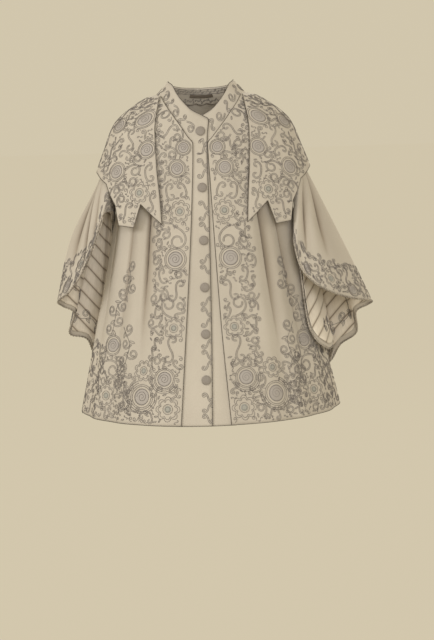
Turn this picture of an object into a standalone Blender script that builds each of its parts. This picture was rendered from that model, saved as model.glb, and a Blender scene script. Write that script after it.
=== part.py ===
"""Opera cloak of cream wool: hollow and filled out, with a shoulder cape and wide bell sleeves.

Metres, +Z up. The front faces -Y, and the wearer's left side is +X.
The origin is at the neck: the neck's shoulder points are at height 0, and a drop is a distance below it.
An angle runs round the body: 0 at the centre front, 90 degrees at the side, 180 at the centre back.
"""

import math

import bmesh
import bpy
import numpy as np
from mathutils import Vector


# Driving sizes

LENGTH = 0.815                 # neck's shoulder point to the hem
CLOTH = 0.0018                 # wall of the wool
LINING_CLOTH = 0.0012          # wall of the silk lining and of the loop's tape
SEAM = 0.0003                  # least gap between sewn pieces; their edges slant, so each gives this much
LAYER_GAP = 0.0008             # gap between cloth and the cloth it lies on
LAYER = CLOTH + LAYER_GAP
LINING_GAP = 0.0009            # gap between a sleeve and its lining

ARMHOLE_TOP = 0.092            # drop of the shoulder point
ARMHOLE_BOTTOM = 0.262         # drop of the underarm
ARMHOLE_ANGLE = math.radians(38)
ARMHOLE_SHARPNESS = 0.7

FRONT_TOP = 0.036              # drop of the fronts at the neck
V_BOTTOM = 0.148               # drop where the fronts' edges turn down
BACK_TOP_CENTRE = 0.046        # drop of the back's neck edge at the centre
BAND_LAP = 0.012               # how far a band runs on under its front
STAND_TOP = 0.170              # drop from which the bands run straight down
STAND_LAYER = {"right": 1.0, "left": 0.0}

BUTTON_RADIUS = 0.0115
BUTTON_HEIGHT = 0.0055
BUTTON_DROPS = (0.120, 0.253, 0.378, 0.489, 0.599, 0.707)
BUTTON_INSET = 0.014           # button's centre from the stand's edge

FACING_ANGLE = math.radians(64)
FACING_DEPTH = 0.036
FACING_SCALLOPS = 11
FACING_SCALLOP_DEPTH = 0.004

LOOP_WIDTH = 0.042
LOOP_TAPE = 0.007
LOOP_DROP = 0.034
LOOP_BOW = 0.004

CREAM = (0.60, 0.52, 0.41)
SILK = (0.47, 0.39, 0.30)
BRAID_GREY = (0.33, 0.29, 0.25)
TAPE_BROWN = (0.20, 0.165, 0.125)


# Interpolation

def hermite(at, xs, ys, tangents):
    """Cubic curve through numbers or points with the given tangents."""
    at = np.clip(np.asarray(at, dtype=float), xs[0], xs[-1])
    i = np.clip(np.searchsorted(xs, at, side="right") - 1, 0, len(xs) - 2)
    widen = (...,) + (None,) * (ys.ndim - 1)
    step = (xs[i + 1] - xs[i])[widen]
    t = (at - xs[i])[widen] / step
    start = (1 + 2 * t) * (1 - t) ** 2 * ys[i] + t * (1 - t) ** 2 * step * tangents[i]
    end = t * t * (3 - 2 * t) * ys[i + 1] + t * t * (t - 1) * step * tangents[i + 1]
    return start + end


def monotone_tangents(xs, ys):
    """Tangents that keep a curve from overshooting its numbers or points."""
    step = np.diff(xs).reshape((-1,) + (1,) * (ys.ndim - 1))
    slope = np.diff(ys, axis=0) / step
    before = slope[:-1]
    after = slope[1:]
    same = before * after > 0
    weight_before = 2 * step[1:] + step[:-1]
    weight_after = step[1:] + 2 * step[:-1]
    safe_before = np.where(same, before, 1.0)
    safe_after = np.where(same, after, 1.0)
    mean = (weight_before + weight_after) / (weight_before / safe_before + weight_after / safe_after)
    return np.concatenate([slope[:1], np.where(same, mean, 0.0), slope[-1:]])


class Table:
    """Rows of sizes with named columns, read smoothly along the first column."""

    def __init__(self, columns, rows):
        self.names = columns.split()
        self.columns = dict(zip(self.names, np.array(rows, dtype=float).T))
        self.key = self.columns[self.names[0]]

    def __call__(self, column, at):
        values = self.columns[column]
        return hermite(at, self.key, values, monotone_tangents(self.key, values))

    def around(self, column, turn):
        """Read a table whose first column is a turn from 0 to 1 that closes on itself."""
        keys = np.concatenate([self.key[-2:] - 1, self.key, self.key[:2] + 1])
        values = self.columns[column]
        values = np.concatenate([values[-2:], values, values[:2]])
        return hermite(turn % 1.0, keys, values, np.gradient(values, keys))


def smoothstep(low, high, at):
    t = np.clip((at - low) / (high - low), 0.0, 1.0)
    return t * t * (3 - 2 * t)


# The figure that fills the cloth, as level sections

BODY = Table("drop half_width front_depth back_depth", (
    (0.000, 0.0775, 0.050, 0.062),
    (0.032, 0.1070, 0.066, 0.077),
    (0.060, 0.1490, 0.080, 0.091),
    (0.092, 0.1940, 0.094, 0.104),
    (0.130, 0.2010, 0.108, 0.114),
    (0.200, 0.2010, 0.124, 0.124),
    (0.280, 0.2080, 0.138, 0.134),
    (0.360, 0.2240, 0.150, 0.146),
    (0.500, 0.2520, 0.174, 0.172),
    (0.650, 0.2850, 0.201, 0.202),
    (0.820, 0.3220, 0.232, 0.236),
))

# The bell that the cape hangs on: over the shoulders, the sleeve heads and the fronts
CAPE = Table("drop half_width front_depth back_depth", (
    (0.024, 0.1060, 0.068, 0.086),
    (0.050, 0.1570, 0.084, 0.099),
    (0.100, 0.2160, 0.107, 0.118),
    (0.162, 0.2425, 0.120, 0.129),
    (0.212, 0.2615, 0.129, 0.136),
    (0.300, 0.2840, 0.142, 0.147),
    (0.375, 0.2990, 0.154, 0.158),
))

# Distance of each front's inner edge from the centre, the wearer's right and left
FRONT_EDGE = Table("drop right left", (
    (0.036, 0.0955, 0.0955),
    (0.055, 0.0860, 0.0850),
    (0.080, 0.0695, 0.0670),
    (0.108, 0.0500, 0.0455),
    (0.135, 0.0325, 0.0235),
    (0.148, 0.0225, 0.0130),
    (0.260, 0.0270, 0.0170),
    (0.400, 0.0360, 0.0230),
    (0.600, 0.0520, 0.0330),
    (0.815, 0.0700, 0.0490),
))

# Stand's edge past the centre front, for the button stand and the underlap
STAND_EDGE = Table("drop right left", (
    (0.170, 0.0105, 0.020),
    (0.300, 0.0110, 0.021),
    (0.550, 0.0090, 0.026),
    (0.815, 0.0040, 0.032),
))

# Neckband, from the centre back over the shoulder and down the V: angles in degrees
NECKBAND = Table("station inner_angle inner_drop outer_angle outer_drop right_layer left_layer", (
    (0, 180.0, 0.0180, 180.0, 0.0580, 0.7, 0.7),
    (1, 155.0, 0.0165, 155.0, 0.0560, 0.7, 0.7),
    (2, 130.0, 0.0115, 130.0, 0.0510, 0.7, 0.7),
    (3, 108.0, 0.0040, 106.0, 0.0460, 0.7, 0.7),
    (4, 90.0, 0.0000, 90.0, 0.0440, 0.7, 0.7),
    (5, 74.0, 0.0020, 72.0, 0.0440, 0.7, 0.7),
    (6, 54.0, 0.0080, 55.0, 0.0470, 0.7, 0.7),
    (7, 33.0, 0.0300, 32.0, 0.0720, 0.7, 0.6),
    (8, 18.0, 0.0510, 21.5, 0.0950, 0.9, 0.3),
    (9, 7.0, 0.0715, 15.0, 0.1240, 1.0, 0.0),
    (10, -0.9, 0.0840, 11.3, 0.1440, 1.0, 0.0),
    (11, -4.9, 0.0945, 9.8, 0.1530, 1.0, 0.0),
    (12, -3.6, 0.1280, 9.8, 0.1610, 1.0, 0.0),
))
FACING_LAYER = -0.5

# Soft folds of the skirt: signed angles at the top and at the hem, then width and depths
SKIRT_FOLDS = Table("start top_angle hem_angle half_angle top_depth hem_depth", (
    (0.290, -40.0, -33.0, 5.0, 0.012, 0.005),
    (0.295, -54.0, -51.0, 7.0, 0.007, 0.010),
    (0.300, -76.0, -72.0, 8.0, 0.003, 0.010),
    (0.290, 38.0, 37.0, 5.0, 0.012, 0.006),
    (0.300, 52.0, 54.0, 7.0, 0.007, 0.010),
    (0.305, 74.0, 75.0, 8.0, 0.003, 0.009),
    (0.310, 108.0, 109.0, 8.0, 0.003, 0.010),
    (0.300, 134.0, 131.0, 8.0, 0.005, 0.012),
    (0.320, 161.0, 156.0, 7.0, 0.004, 0.011),
    (0.310, -110.0, -108.0, 8.0, 0.003, 0.011),
    (0.300, -133.0, -134.0, 8.0, 0.005, 0.012),
    (0.320, -160.0, -158.0, 7.0, 0.004, 0.010),
    (0.330, 182.0, 181.0, 7.0, 0.004, 0.011),
))

# Lower edge of the cape from its front edge (0) to the centre back (1)
CAPE_EDGE = Table("along drop", (
    (0.000, 0.338),
    (0.069, 0.289),
    (0.096, 0.345),
    (0.156, 0.340),
    (0.175, 0.292),
    (0.239, 0.241),
    (0.340, 0.219),
    (0.430, 0.210),
    (0.530, 0.221),
    (0.630, 0.248),
    (0.730, 0.285),
    (0.830, 0.318),
    (0.920, 0.338),
    (1.000, 0.345),
))

# Distance of the cape's front edge from the centre
CAPE_FRONT = Table("drop side", (
    (0.034, 0.1010),
    (0.120, 0.1130),
    (0.200, 0.1110),
    (0.270, 0.1060),
    (0.350, 0.1020),
))

# Lengthwise lines of the sleeves, a row for each fold: a point below the cape's edge and one on the hem.
# Turn 0 is the underarm, then front, outside and back. Out is from the centre, fore towards the front.
SLEEVE_COLUMNS = "turn mid_out mid_fore mid_drop hem_out hem_fore hem_drop billow"
SLEEVE_RIGHT = Table(SLEEVE_COLUMNS, (
    (0.00, 0.2215, 0.010, 0.286, 0.227, 0.030, 0.318, 0.000),
    (0.06, 0.2200, 0.046, 0.272, 0.234, 0.066, 0.308, 0.000),
    (0.12, 0.2300, 0.061, 0.258, 0.248, 0.086, 0.314, 0.002),
    (0.18, 0.2410, 0.053, 0.250, 0.262, 0.097, 0.358, 0.004),
    (0.24, 0.2490, 0.042, 0.245, 0.282, 0.102, 0.410, 0.006),
    (0.30, 0.2550, 0.030, 0.241, 0.306, 0.098, 0.456, 0.012),
    (0.36, 0.2590, 0.017, 0.239, 0.338, 0.080, 0.500, 0.018),
    (0.42, 0.2610, 0.004, 0.238, 0.371, 0.042, 0.528, 0.022),
    (0.48, 0.2600, -0.010, 0.241, 0.364, -0.008, 0.548, 0.020),
    (0.54, 0.2570, -0.027, 0.247, 0.338, -0.034, 0.570, 0.016),
    (0.60, 0.2510, -0.046, 0.254, 0.357, -0.076, 0.628, 0.012),
    (0.66, 0.2430, -0.060, 0.264, 0.314, -0.098, 0.648, 0.010),
    (0.71, 0.2370, -0.068, 0.274, 0.297, -0.128, 0.704, 0.008),
    (0.76, 0.2320, -0.072, 0.284, 0.279, -0.142, 0.700, 0.006),
    (0.82, 0.2280, -0.068, 0.293, 0.258, -0.132, 0.630, 0.002),
    (0.88, 0.2240, -0.056, 0.297, 0.240, -0.104, 0.530, 0.001),
    (0.94, 0.2220, -0.028, 0.294, 0.234, -0.050, 0.405, 0.000),
))
SLEEVE_LEFT = Table(SLEEVE_COLUMNS, (
    (0.00, 0.2225, 0.014, 0.290, 0.226, 0.080, 0.422, 0.000),
    (0.06, 0.2200, 0.048, 0.275, 0.215, 0.106, 0.382, 0.000),
    (0.12, 0.2290, 0.064, 0.262, 0.217, 0.126, 0.410, 0.000),
    (0.18, 0.2390, 0.057, 0.254, 0.229, 0.134, 0.452, 0.002),
    (0.24, 0.2480, 0.045, 0.247, 0.256, 0.137, 0.486, 0.004),
    (0.30, 0.2540, 0.032, 0.243, 0.296, 0.128, 0.512, 0.006),
    (0.36, 0.2590, 0.017, 0.239, 0.348, 0.098, 0.534, 0.005),
    (0.42, 0.2610, 0.004, 0.238, 0.405, 0.045, 0.550, 0.002),
    (0.48, 0.2600, -0.010, 0.241, 0.402, -0.008, 0.567, 0.004),
    (0.54, 0.2570, -0.027, 0.247, 0.374, -0.030, 0.588, 0.008),
    (0.60, 0.2510, -0.046, 0.254, 0.378, -0.068, 0.646, 0.012),
    (0.66, 0.2430, -0.060, 0.264, 0.338, -0.096, 0.682, 0.010),
    (0.71, 0.2370, -0.066, 0.274, 0.318, -0.114, 0.722, 0.008),
    (0.75, 0.2340, -0.064, 0.282, 0.309, -0.092, 0.724, 0.008),
    (0.80, 0.2330, -0.054, 0.291, 0.315, -0.026, 0.674, 0.008),
    (0.86, 0.2310, -0.034, 0.298, 0.292, 0.084, 0.660, 0.004),
    (0.93, 0.2290, -0.012, 0.298, 0.247, 0.110, 0.600, 0.002),
))

# Creases that run down a sleeve from under the cape
CREASE_COLUMNS = "turn top_turn half_turn depth start end"
CREASES_RIGHT = Table(CREASE_COLUMNS, (
    (0.36, 0.41, 0.032, 0.007, 0.20, 0.85),
    (0.24, 0.27, 0.032, 0.004, 0.25, 0.95),
    (0.57, 0.55, 0.035, 0.007, 0.20, 0.95),
    (0.69, 0.66, 0.035, 0.006, 0.20, 0.95),
))
CREASES_LEFT = Table(CREASE_COLUMNS, (
    (0.32, 0.34, 0.030, 0.006, 0.20, 0.80),
    (0.22, 0.22, 0.030, 0.006, 0.25, 0.85),
    (0.56, 0.55, 0.035, 0.007, 0.20, 0.95),
    (0.67, 0.66, 0.035, 0.006, 0.20, 0.95),
))


# Points on the forms

def section_point(form, angle, drop):
    """Point on a form of level half-ellipses, one to the front and one to the back."""
    front = np.cos(angle) > 0
    depth = np.where(front, form("front_depth", drop), form("back_depth", drop))
    across = form("half_width", drop) * np.sin(angle)
    return np.stack([across, -depth * np.cos(angle), -drop + 0.0 * angle], axis=-1)


def lifted(form, angle, drop, lift):
    """Point on a form, moved out along its normal."""
    angle, drop = np.broadcast_arrays(np.asarray(angle, dtype=float), np.asarray(drop, dtype=float))
    nudge = 1e-4
    point = section_point(form, angle, drop)
    along = section_point(form, angle + nudge, drop) - section_point(form, angle - nudge, drop)
    down = section_point(form, angle, drop + nudge) - section_point(form, angle, drop - nudge)
    normal = np.cross(down, along)
    normal /= np.linalg.norm(normal, axis=-1, keepdims=True)
    return point + normal * np.broadcast_to(lift, angle.shape)[..., None]


def angle_at(form, distance, drop):
    """Angle at which a form stands this far from the centre, on its front half."""
    return np.arcsin(np.clip(distance / form("half_width", drop), -1.0, 1.0))


FOLD_RISE = 0.09               # how far above its start a fold begins to show
FOLD_SETTLE = 0.03             # how far below its start it has its full depth


def skirt_fold(angle, drop):
    """How far the skirt's folds draw the cloth in."""
    total = np.zeros(np.broadcast(angle, drop).shape)
    turned = np.degrees(angle)
    for start, top, hem, half, top_depth, hem_depth in zip(*SKIRT_FOLDS.columns.values()):
        share = np.clip((drop - start) / (LENGTH - start), 0.0, 1.0)
        centre = top + (hem - top) * share
        away = (turned - centre + 180.0) % 360.0 - 180.0
        shown = smoothstep(start - FOLD_RISE, start + FOLD_SETTLE, drop)
        depth = (top_depth + (hem_depth - top_depth) * share) * shown
        total += depth * np.exp(-(away / half) ** 2)
    return total


def armhole(drop):
    """Angle that the armhole takes off the side of a front or of the back."""
    share = np.clip((drop - ARMHOLE_TOP) / (ARMHOLE_BOTTOM - ARMHOLE_TOP), 0.0, 1.0)
    return ARMHOLE_ANGLE * np.sin(np.pi * share) ** ARMHOLE_SHARPNESS


def side_seam(drop):
    """Angle of half the gap at a side or shoulder seam, where the sections' ends are tightly curved."""
    return SEAM / BODY("front_depth", drop)


def centre_seam(form, drop):
    """Angle of half the gap at a centre back seam."""
    return SEAM / form("half_width", drop)


# Turning grids of points into cloth

def finish_material(name, colour, roughness):
    material = bpy.data.materials.new(name)
    material.use_nodes = True
    shader = material.node_tree.nodes["Principled BSDF"]
    shader.inputs["Base Color"].default_value = (*colour, 1.0)
    shader.inputs["Roughness"].default_value = roughness
    shader.inputs["Metallic"].default_value = 0.0
    return material


def grid_faces(rows, columns, closed):
    """Triangles of a grid, all split one way, joined round where it closes on itself."""
    faces = []
    for i in range(rows - 1):
        for j in range(columns if closed else columns - 1):
            k = (j + 1) % columns
            above = i * columns
            below = above + columns
            faces.append((above + j, below + j, below + k))
            faces.append((above + j, below + k, above + k))
    return faces


def cloth(name, grid, thickness, material, closed=False):
    """Wall of cloth, half its thickness on each side of a grid of points that faces out."""
    rows, columns = grid.shape[:2]
    mesh = bpy.data.meshes.new(name)
    mesh.from_pydata(grid.reshape(-1, 3).tolist(), [], grid_faces(rows, columns, closed))
    mesh.shade_smooth()
    piece = bpy.data.objects.new(name, mesh)
    bpy.context.collection.objects.link(piece)
    wall = piece.modifiers.new("wall", "SOLIDIFY")
    wall.thickness = thickness
    wall.offset = 0.0
    mesh.materials.append(material)
    return piece


def mirrored(grid):
    """The same cloth on the wearer's right side, still facing out."""
    return grid[:, ::-1] * np.array([-1.0, 1.0, 1.0])


def grid_normals(grid, closed):
    """Outward direction at each point of a grid."""
    down = np.gradient(grid, axis=0)
    if closed:
        along = np.roll(grid, -1, axis=1) - np.roll(grid, 1, axis=1)
    else:
        along = np.gradient(grid, axis=1)
    normal = np.cross(down, along)
    return normal / np.linalg.norm(normal, axis=-1, keepdims=True)


# Body pieces

FRONT_ROWS = np.concatenate([
    np.linspace(FRONT_TOP, V_BOTTOM, 10),
    np.linspace(V_BOTTOM, ARMHOLE_BOTTOM, 6)[1:],
    np.linspace(ARMHOLE_BOTTOM, LENGTH, 12)[1:],
])
FRONT_COLUMNS = np.linspace(0.0, 1.0, 12)
BACK_COLUMNS = 25
NECK_STATIONS = 34
BAND_COLUMNS = 5
FACING_COLUMNS = 4 * FACING_SCALLOPS + 1
FACING_ROWS = 4
LOOP_COLUMNS = 9
LOOP_ROWS = 3
LEFT_FRONT_RISE = 0.35         # share of the left front over which it rises to the fronts' layer


def front_grid(side):
    """A front on the +X side, from its inner edge to the shoulder seam, armhole and side seam."""
    drop = FRONT_ROWS[:, None]
    inner = angle_at(BODY, FRONT_EDGE(side, drop), drop)
    outer = np.pi / 2 - side_seam(drop) - armhole(drop)
    angle = inner + (outer - inner) * FRONT_COLUMNS[None, :]
    drop = drop + 0.0 * angle
    lift = np.full(angle.shape, 2 * LAYER)
    if side == "left":
        lift -= LAYER * (1.0 - smoothstep(0.0, LEFT_FRONT_RISE, FRONT_COLUMNS[None, :])) * \
            smoothstep(FRONT_TOP, V_BOTTOM, drop)
    signed = angle if side == "left" else -angle
    return lifted(BODY, angle, drop, lift - skirt_fold(signed, drop))


def back_grid():
    """The back, from the neck to the hem and from side seam to side seam."""
    across = np.linspace(-1.0, 1.0, BACK_COLUMNS)[None, :]
    share = ((FRONT_ROWS - FRONT_TOP) / (LENGTH - FRONT_TOP))[:, None]
    top = FRONT_TOP + (BACK_TOP_CENTRE - FRONT_TOP) * np.cos(across * np.pi / 2)
    drop = top + (LENGTH - top) * share
    angle = np.pi + across * (np.pi / 2 - side_seam(drop) - armhole(drop))
    return lifted(BODY, angle, drop, 2 * LAYER - skirt_fold(angle, drop))


def band_grid(side):
    """A neckband on the +X side that runs on down the front as the button stand or the underlap."""
    stations = np.linspace(NECKBAND.key[0], NECKBAND.key[-1], NECK_STATIONS)[:, None]
    neck_inner_angle = np.radians(NECKBAND("inner_angle", stations))
    neck_outer_angle = np.radians(NECKBAND("outer_angle", stations))
    neck_inner_drop = NECKBAND("inner_drop", stations)
    neck_outer_drop = NECKBAND("outer_drop", stations)
    stand = np.concatenate([[STAND_TOP], FRONT_ROWS[FRONT_ROWS > STAND_TOP + LAYER]])[:, None]
    stand_inner = angle_at(BODY, -STAND_EDGE(side, stand), stand)
    stand_outer = angle_at(BODY, FRONT_EDGE(side, stand) + BAND_LAP, stand)
    inner_angle = np.concatenate([neck_inner_angle, stand_inner])
    outer_angle = np.concatenate([neck_outer_angle, stand_outer])
    inner_drop = np.concatenate([neck_inner_drop, stand])
    outer_drop = np.concatenate([neck_outer_drop, stand])
    seam = centre_seam(BODY, inner_drop[0, 0])
    inner_angle[0] -= seam
    outer_angle[0] -= seam
    across = np.linspace(0.0, 1.0, BAND_COLUMNS)[None, :]
    angle = inner_angle + (outer_angle - inner_angle) * across
    drop = inner_drop + (outer_drop - inner_drop) * across
    layer = np.concatenate([NECKBAND(side + "_layer", stations), np.full(stand.shape, STAND_LAYER[side])])
    return lifted(BODY, angle, drop, LAYER * layer + 0.0 * angle)


def facing_grid():
    """Facing inside the back neck, with a scalloped lower edge."""
    across = np.linspace(-1.0, 1.0, FACING_COLUMNS)[None, :]
    share = np.linspace(0.0, 1.0, FACING_ROWS)[:, None]
    angle = np.pi + across * FACING_ANGLE
    from_back = 180.0 - NECKBAND.columns["inner_angle"]
    top = np.interp(np.abs(across) * np.degrees(FACING_ANGLE), from_back, NECKBAND.columns["inner_drop"])
    scallop = FACING_SCALLOP_DEPTH * np.abs(np.sin(0.5 * np.pi * FACING_SCALLOPS * (across + 1.0)))
    drop = top + LAYER_GAP + (FACING_DEPTH + scallop) * share
    return lifted(BODY, angle, drop, FACING_LAYER * LAYER)


def loop_grid():
    """Hanging loop of tape at the centre back, sewn down at its ends and bowed off the facing."""
    across = np.linspace(-1.0, 1.0, LOOP_COLUMNS)[None, :]
    share = np.linspace(-0.5, 0.5, LOOP_ROWS)[:, None]
    angle = np.pi + across * 0.5 * LOOP_WIDTH / BODY("back_depth", LOOP_DROP) + 0.0 * share
    seat = FACING_LAYER * LAYER - 0.5 * (CLOTH + LINING_CLOTH) - 2 * SEAM
    lift = seat - LOOP_BOW * np.cos(across * np.pi / 2) + 0.0 * share
    return lifted(BODY, angle, LOOP_DROP + LOOP_TAPE * share, lift)


# Cape

CAPE_ROWS = 10
CAPE_SHOULDER = 0.45           # share along the cape from which its neck edge drops to the centre back


def cape_grid():
    """Half of the cape on the +X side, from its front edge over the shoulder to the centre back."""
    corners = CAPE_EDGE.key
    halves = 0.5 * (corners[1:] + corners[:-1])
    along = np.sort(np.concatenate([corners, halves]))[None, :]
    share = np.linspace(0.0, 1.0, CAPE_ROWS)[:, None]
    dip = smoothstep(CAPE_SHOULDER, 1.0, along)
    top = CAPE_FRONT.key[0] + (BACK_TOP_CENTRE - CAPE_FRONT.key[0]) * dip
    edge = np.interp(along, corners, CAPE_EDGE.columns["drop"])
    drop = top + (edge - top) * share
    front = angle_at(CAPE, CAPE_FRONT("side", drop), drop)
    angle = front + along * (np.pi - centre_seam(CAPE, drop) - front)
    return lifted(CAPE, angle, drop, 0.0)


# Sleeves

SLEEVE_TURNS = 44
SLEEVE_STEPS = np.linspace(0.0, 1.0, 10)
LINING_STEPS = slice(1, None)  # the lining starts a step below the armhole
LINING_HEM_SHARE = 0.80        # how far the lining goes down the last step
LINE_STOPS = np.array([0.0, 0.33, 0.66, 1.0])
ARMHOLE_LAP = math.radians(3)  # how far the sleeve's head laps over the armhole's edge
HEAD_LIFT = 2 * LAYER + 0.5 * CLOTH + 2 * SEAM + LAYER_GAP


def line_points(lines, level, turn):
    """Points of a sleeve's lengthwise lines, at their middle or at the hem."""
    out = lines.around(level + "_out", turn)
    fore = lines.around(level + "_fore", turn)
    drop = lines.around(level + "_drop", turn)
    return np.stack([out, -fore, -drop], axis=-1)


def crease_depth(creases, turn, share):
    """How far the creases draw a sleeve in."""
    total = np.zeros(np.broadcast(turn, share).shape)
    for hem_turn, top_turn, half, depth, start, end in zip(*creases.columns.values()):
        centre = top_turn + (hem_turn - top_turn) * share
        away = (turn - centre + 0.5) % 1.0 - 0.5
        length = np.clip((share - start) / (end - start), 0.0, 1.0)
        total += depth * np.sin(np.pi * length) * np.exp(-(away / half) ** 2)
    return total


def sleeve_grid(lines, creases):
    """A sleeve on the +X side: lengthwise lines from the armhole, past the cape's edge, to the hem."""
    turn = np.arange(SLEEVE_TURNS) / SLEEVE_TURNS
    around = 2 * np.pi * turn
    middle_drop = 0.5 * (ARMHOLE_TOP + ARMHOLE_BOTTOM)
    head_drop = middle_drop + (ARMHOLE_BOTTOM - middle_drop) * np.cos(around)
    head_angle = np.pi / 2 - (ARMHOLE_ANGLE + ARMHOLE_LAP) * np.sin(around)
    head = lifted(BODY, head_angle, head_drop, HEAD_LIFT)
    middle = line_points(lines, "mid", turn)
    hem = line_points(lines, "hem", turn)
    outward = 0.5 * (middle + hem) - np.mean(0.5 * (middle + hem), axis=0)
    outward[:, 2] = 0.0
    outward /= np.linalg.norm(outward, axis=-1, keepdims=True)
    knee = 0.5 * (middle + hem) + outward * lines.around("billow", turn)[:, None]
    stops = np.stack([head, middle, knee, hem])
    grid = hermite(SLEEVE_STEPS, LINE_STOPS, stops, monotone_tangents(LINE_STOPS, stops))
    depth = crease_depth(creases, turn[None, :], SLEEVE_STEPS[:, None])
    return grid - grid_normals(grid, True) * depth[..., None]


def lining_grid(sleeve):
    """A sleeve's lining: the sleeve's own points, moved in, and short of its hem."""
    inset = 0.5 * (CLOTH + LINING_CLOTH) + LINING_GAP
    grid = (sleeve - grid_normals(sleeve, True) * inset)[LINING_STEPS].copy()
    grid[-1] = grid[-2] + LINING_HEM_SHARE * (grid[-1] - grid[-2])
    return grid


# Buttons

BUTTON_SIDES = 16
BUTTON_PROFILE = Table("height radius", (
    (0.00, 0.86),
    (0.30, 1.00),
    (0.62, 0.86),
    (0.88, 0.50),
))


def button(name, drop, material):
    """A covered button, domed, on the button stand."""
    away = BUTTON_INSET - STAND_EDGE("right", drop)
    angle = angle_at(BODY, away, drop)
    seat = LAYER + 0.5 * CLOTH + SEAM
    stand = lifted(BODY, -angle, drop, seat)
    above = lifted(BODY, -angle, drop, seat + BUTTON_HEIGHT)
    axis = Vector(above - stand).normalized()
    turn = axis.to_track_quat("Z", "Y")
    shape = bmesh.new()
    rings = []
    for height, radius in zip(BUTTON_PROFILE.key, BUTTON_PROFILE.columns["radius"]):
        ring = []
        for k in range(BUTTON_SIDES):
            around = 2 * math.pi * k / BUTTON_SIDES
            local = Vector((radius * BUTTON_RADIUS * math.cos(around),
                            radius * BUTTON_RADIUS * math.sin(around), height * BUTTON_HEIGHT))
            ring.append(shape.verts.new(Vector(stand) + turn @ local))
        rings.append(ring)
    crown = shape.verts.new(Vector(stand) + axis * BUTTON_HEIGHT)
    shape.faces.new(rings[0][::-1])
    for lower, upper in zip(rings, rings[1:]):
        for k in range(BUTTON_SIDES):
            n = (k + 1) % BUTTON_SIDES
            shape.faces.new((lower[k], lower[n], upper[n], upper[k]))
    for k in range(BUTTON_SIDES):
        shape.faces.new((rings[-1][k], rings[-1][(k + 1) % BUTTON_SIDES], crown))
    mesh = bpy.data.meshes.new(name)
    shape.to_mesh(mesh)
    shape.free()
    mesh.shade_smooth()
    mesh.materials.append(material)
    bpy.context.collection.objects.link(bpy.data.objects.new(name, mesh))


# The whole cloak

def build():
    for old in list(bpy.data.objects):
        bpy.data.objects.remove(old)
    wool = finish_material("cream_wool", CREAM, 0.90)
    silk = finish_material("sleeve_silk", SILK, 0.60)
    braid = finish_material("grey_braid", BRAID_GREY, 0.75)
    tape = finish_material("loop_tape", TAPE_BROWN, 0.85)

    cloth("back", back_grid(), CLOTH, wool)
    cloth("front_left", front_grid("left"), CLOTH, wool)
    cloth("front_right", mirrored(front_grid("right")), CLOTH, wool)
    cloth("band_left", band_grid("left"), CLOTH, wool)
    cloth("band_right", mirrored(band_grid("right")), CLOTH, wool)
    cloth("neck_facing", facing_grid(), CLOTH, wool)
    cloth("hang_loop", loop_grid(), LINING_CLOTH, tape)

    cloth("cape_left", cape_grid(), CLOTH, wool)
    cloth("cape_right", mirrored(cape_grid()), CLOTH, wool)

    left = sleeve_grid(SLEEVE_LEFT, CREASES_LEFT)
    right = mirrored(sleeve_grid(SLEEVE_RIGHT, CREASES_RIGHT))
    cloth("sleeve_left", left, CLOTH, wool, closed=True)
    cloth("sleeve_right", right, CLOTH, wool, closed=True)
    cloth("lining_left", lining_grid(left), LINING_CLOTH, silk, closed=True)
    cloth("lining_right", lining_grid(right), LINING_CLOTH, silk, closed=True)

    for k, drop in enumerate(BUTTON_DROPS):
        button(f"button_{k + 1}", drop, braid)


build()
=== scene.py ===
"""Opera cloak of cream wool: fine cloth, soutache braid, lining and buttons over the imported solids.

Metres, +Z up. The front faces -Y, and the wearer's left side is +X. A drop is a distance below the neck.
An angle runs round the body: 0 at the centre front, 90 degrees at the side, 180 at the centre back.
"""

import math

import bpy
import numpy as np
from mathutils import Matrix, Vector


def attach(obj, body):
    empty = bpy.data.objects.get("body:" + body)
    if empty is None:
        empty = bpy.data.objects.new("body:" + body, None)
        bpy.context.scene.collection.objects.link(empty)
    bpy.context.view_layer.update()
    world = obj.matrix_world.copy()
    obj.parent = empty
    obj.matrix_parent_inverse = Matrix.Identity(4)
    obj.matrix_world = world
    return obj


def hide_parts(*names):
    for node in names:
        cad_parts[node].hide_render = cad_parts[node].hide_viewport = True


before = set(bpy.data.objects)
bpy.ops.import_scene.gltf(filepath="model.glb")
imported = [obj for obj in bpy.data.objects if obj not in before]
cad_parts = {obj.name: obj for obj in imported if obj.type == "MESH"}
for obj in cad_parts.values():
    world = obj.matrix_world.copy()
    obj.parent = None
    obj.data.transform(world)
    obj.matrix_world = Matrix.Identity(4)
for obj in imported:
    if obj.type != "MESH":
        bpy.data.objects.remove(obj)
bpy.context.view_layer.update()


# Driving sizes

LENGTH = 0.815                 # neck's shoulder point to the hem
CLOTH = 0.0018                 # wall of the wool
LINING_CLOTH = 0.0012          # wall of the silk lining and of the loop's tape
SEAM = 0.0003                  # least gap between sewn pieces; their edges slant, so each gives this much
LAYER_GAP = 0.0008             # gap between cloth and the cloth it lies on
LAYER = CLOTH + LAYER_GAP
LINING_GAP = 0.0009            # gap between a sleeve and its lining

ARMHOLE_TOP = 0.092            # drop of the shoulder point
ARMHOLE_BOTTOM = 0.262         # drop of the underarm
ARMHOLE_ANGLE = math.radians(38)
ARMHOLE_SHARPNESS = 0.7

FRONT_TOP = 0.036              # drop of the fronts at the neck
V_BOTTOM = 0.148               # drop where the fronts' edges turn down
BACK_TOP_CENTRE = 0.046        # drop of the back's neck edge at the centre
BAND_LAP = 0.012               # how far a band runs on under its front
STAND_TOP = 0.170              # drop from which the bands run straight down
STAND_LAYER = {"right": 1.0, "left": 0.0}

BUTTON_RADIUS = 0.0115
BUTTON_HEIGHT = 0.0055
BUTTON_DROPS = (0.120, 0.253, 0.378, 0.489, 0.599, 0.707)
BUTTON_INSET = 0.014           # button's centre from the stand's edge

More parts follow.
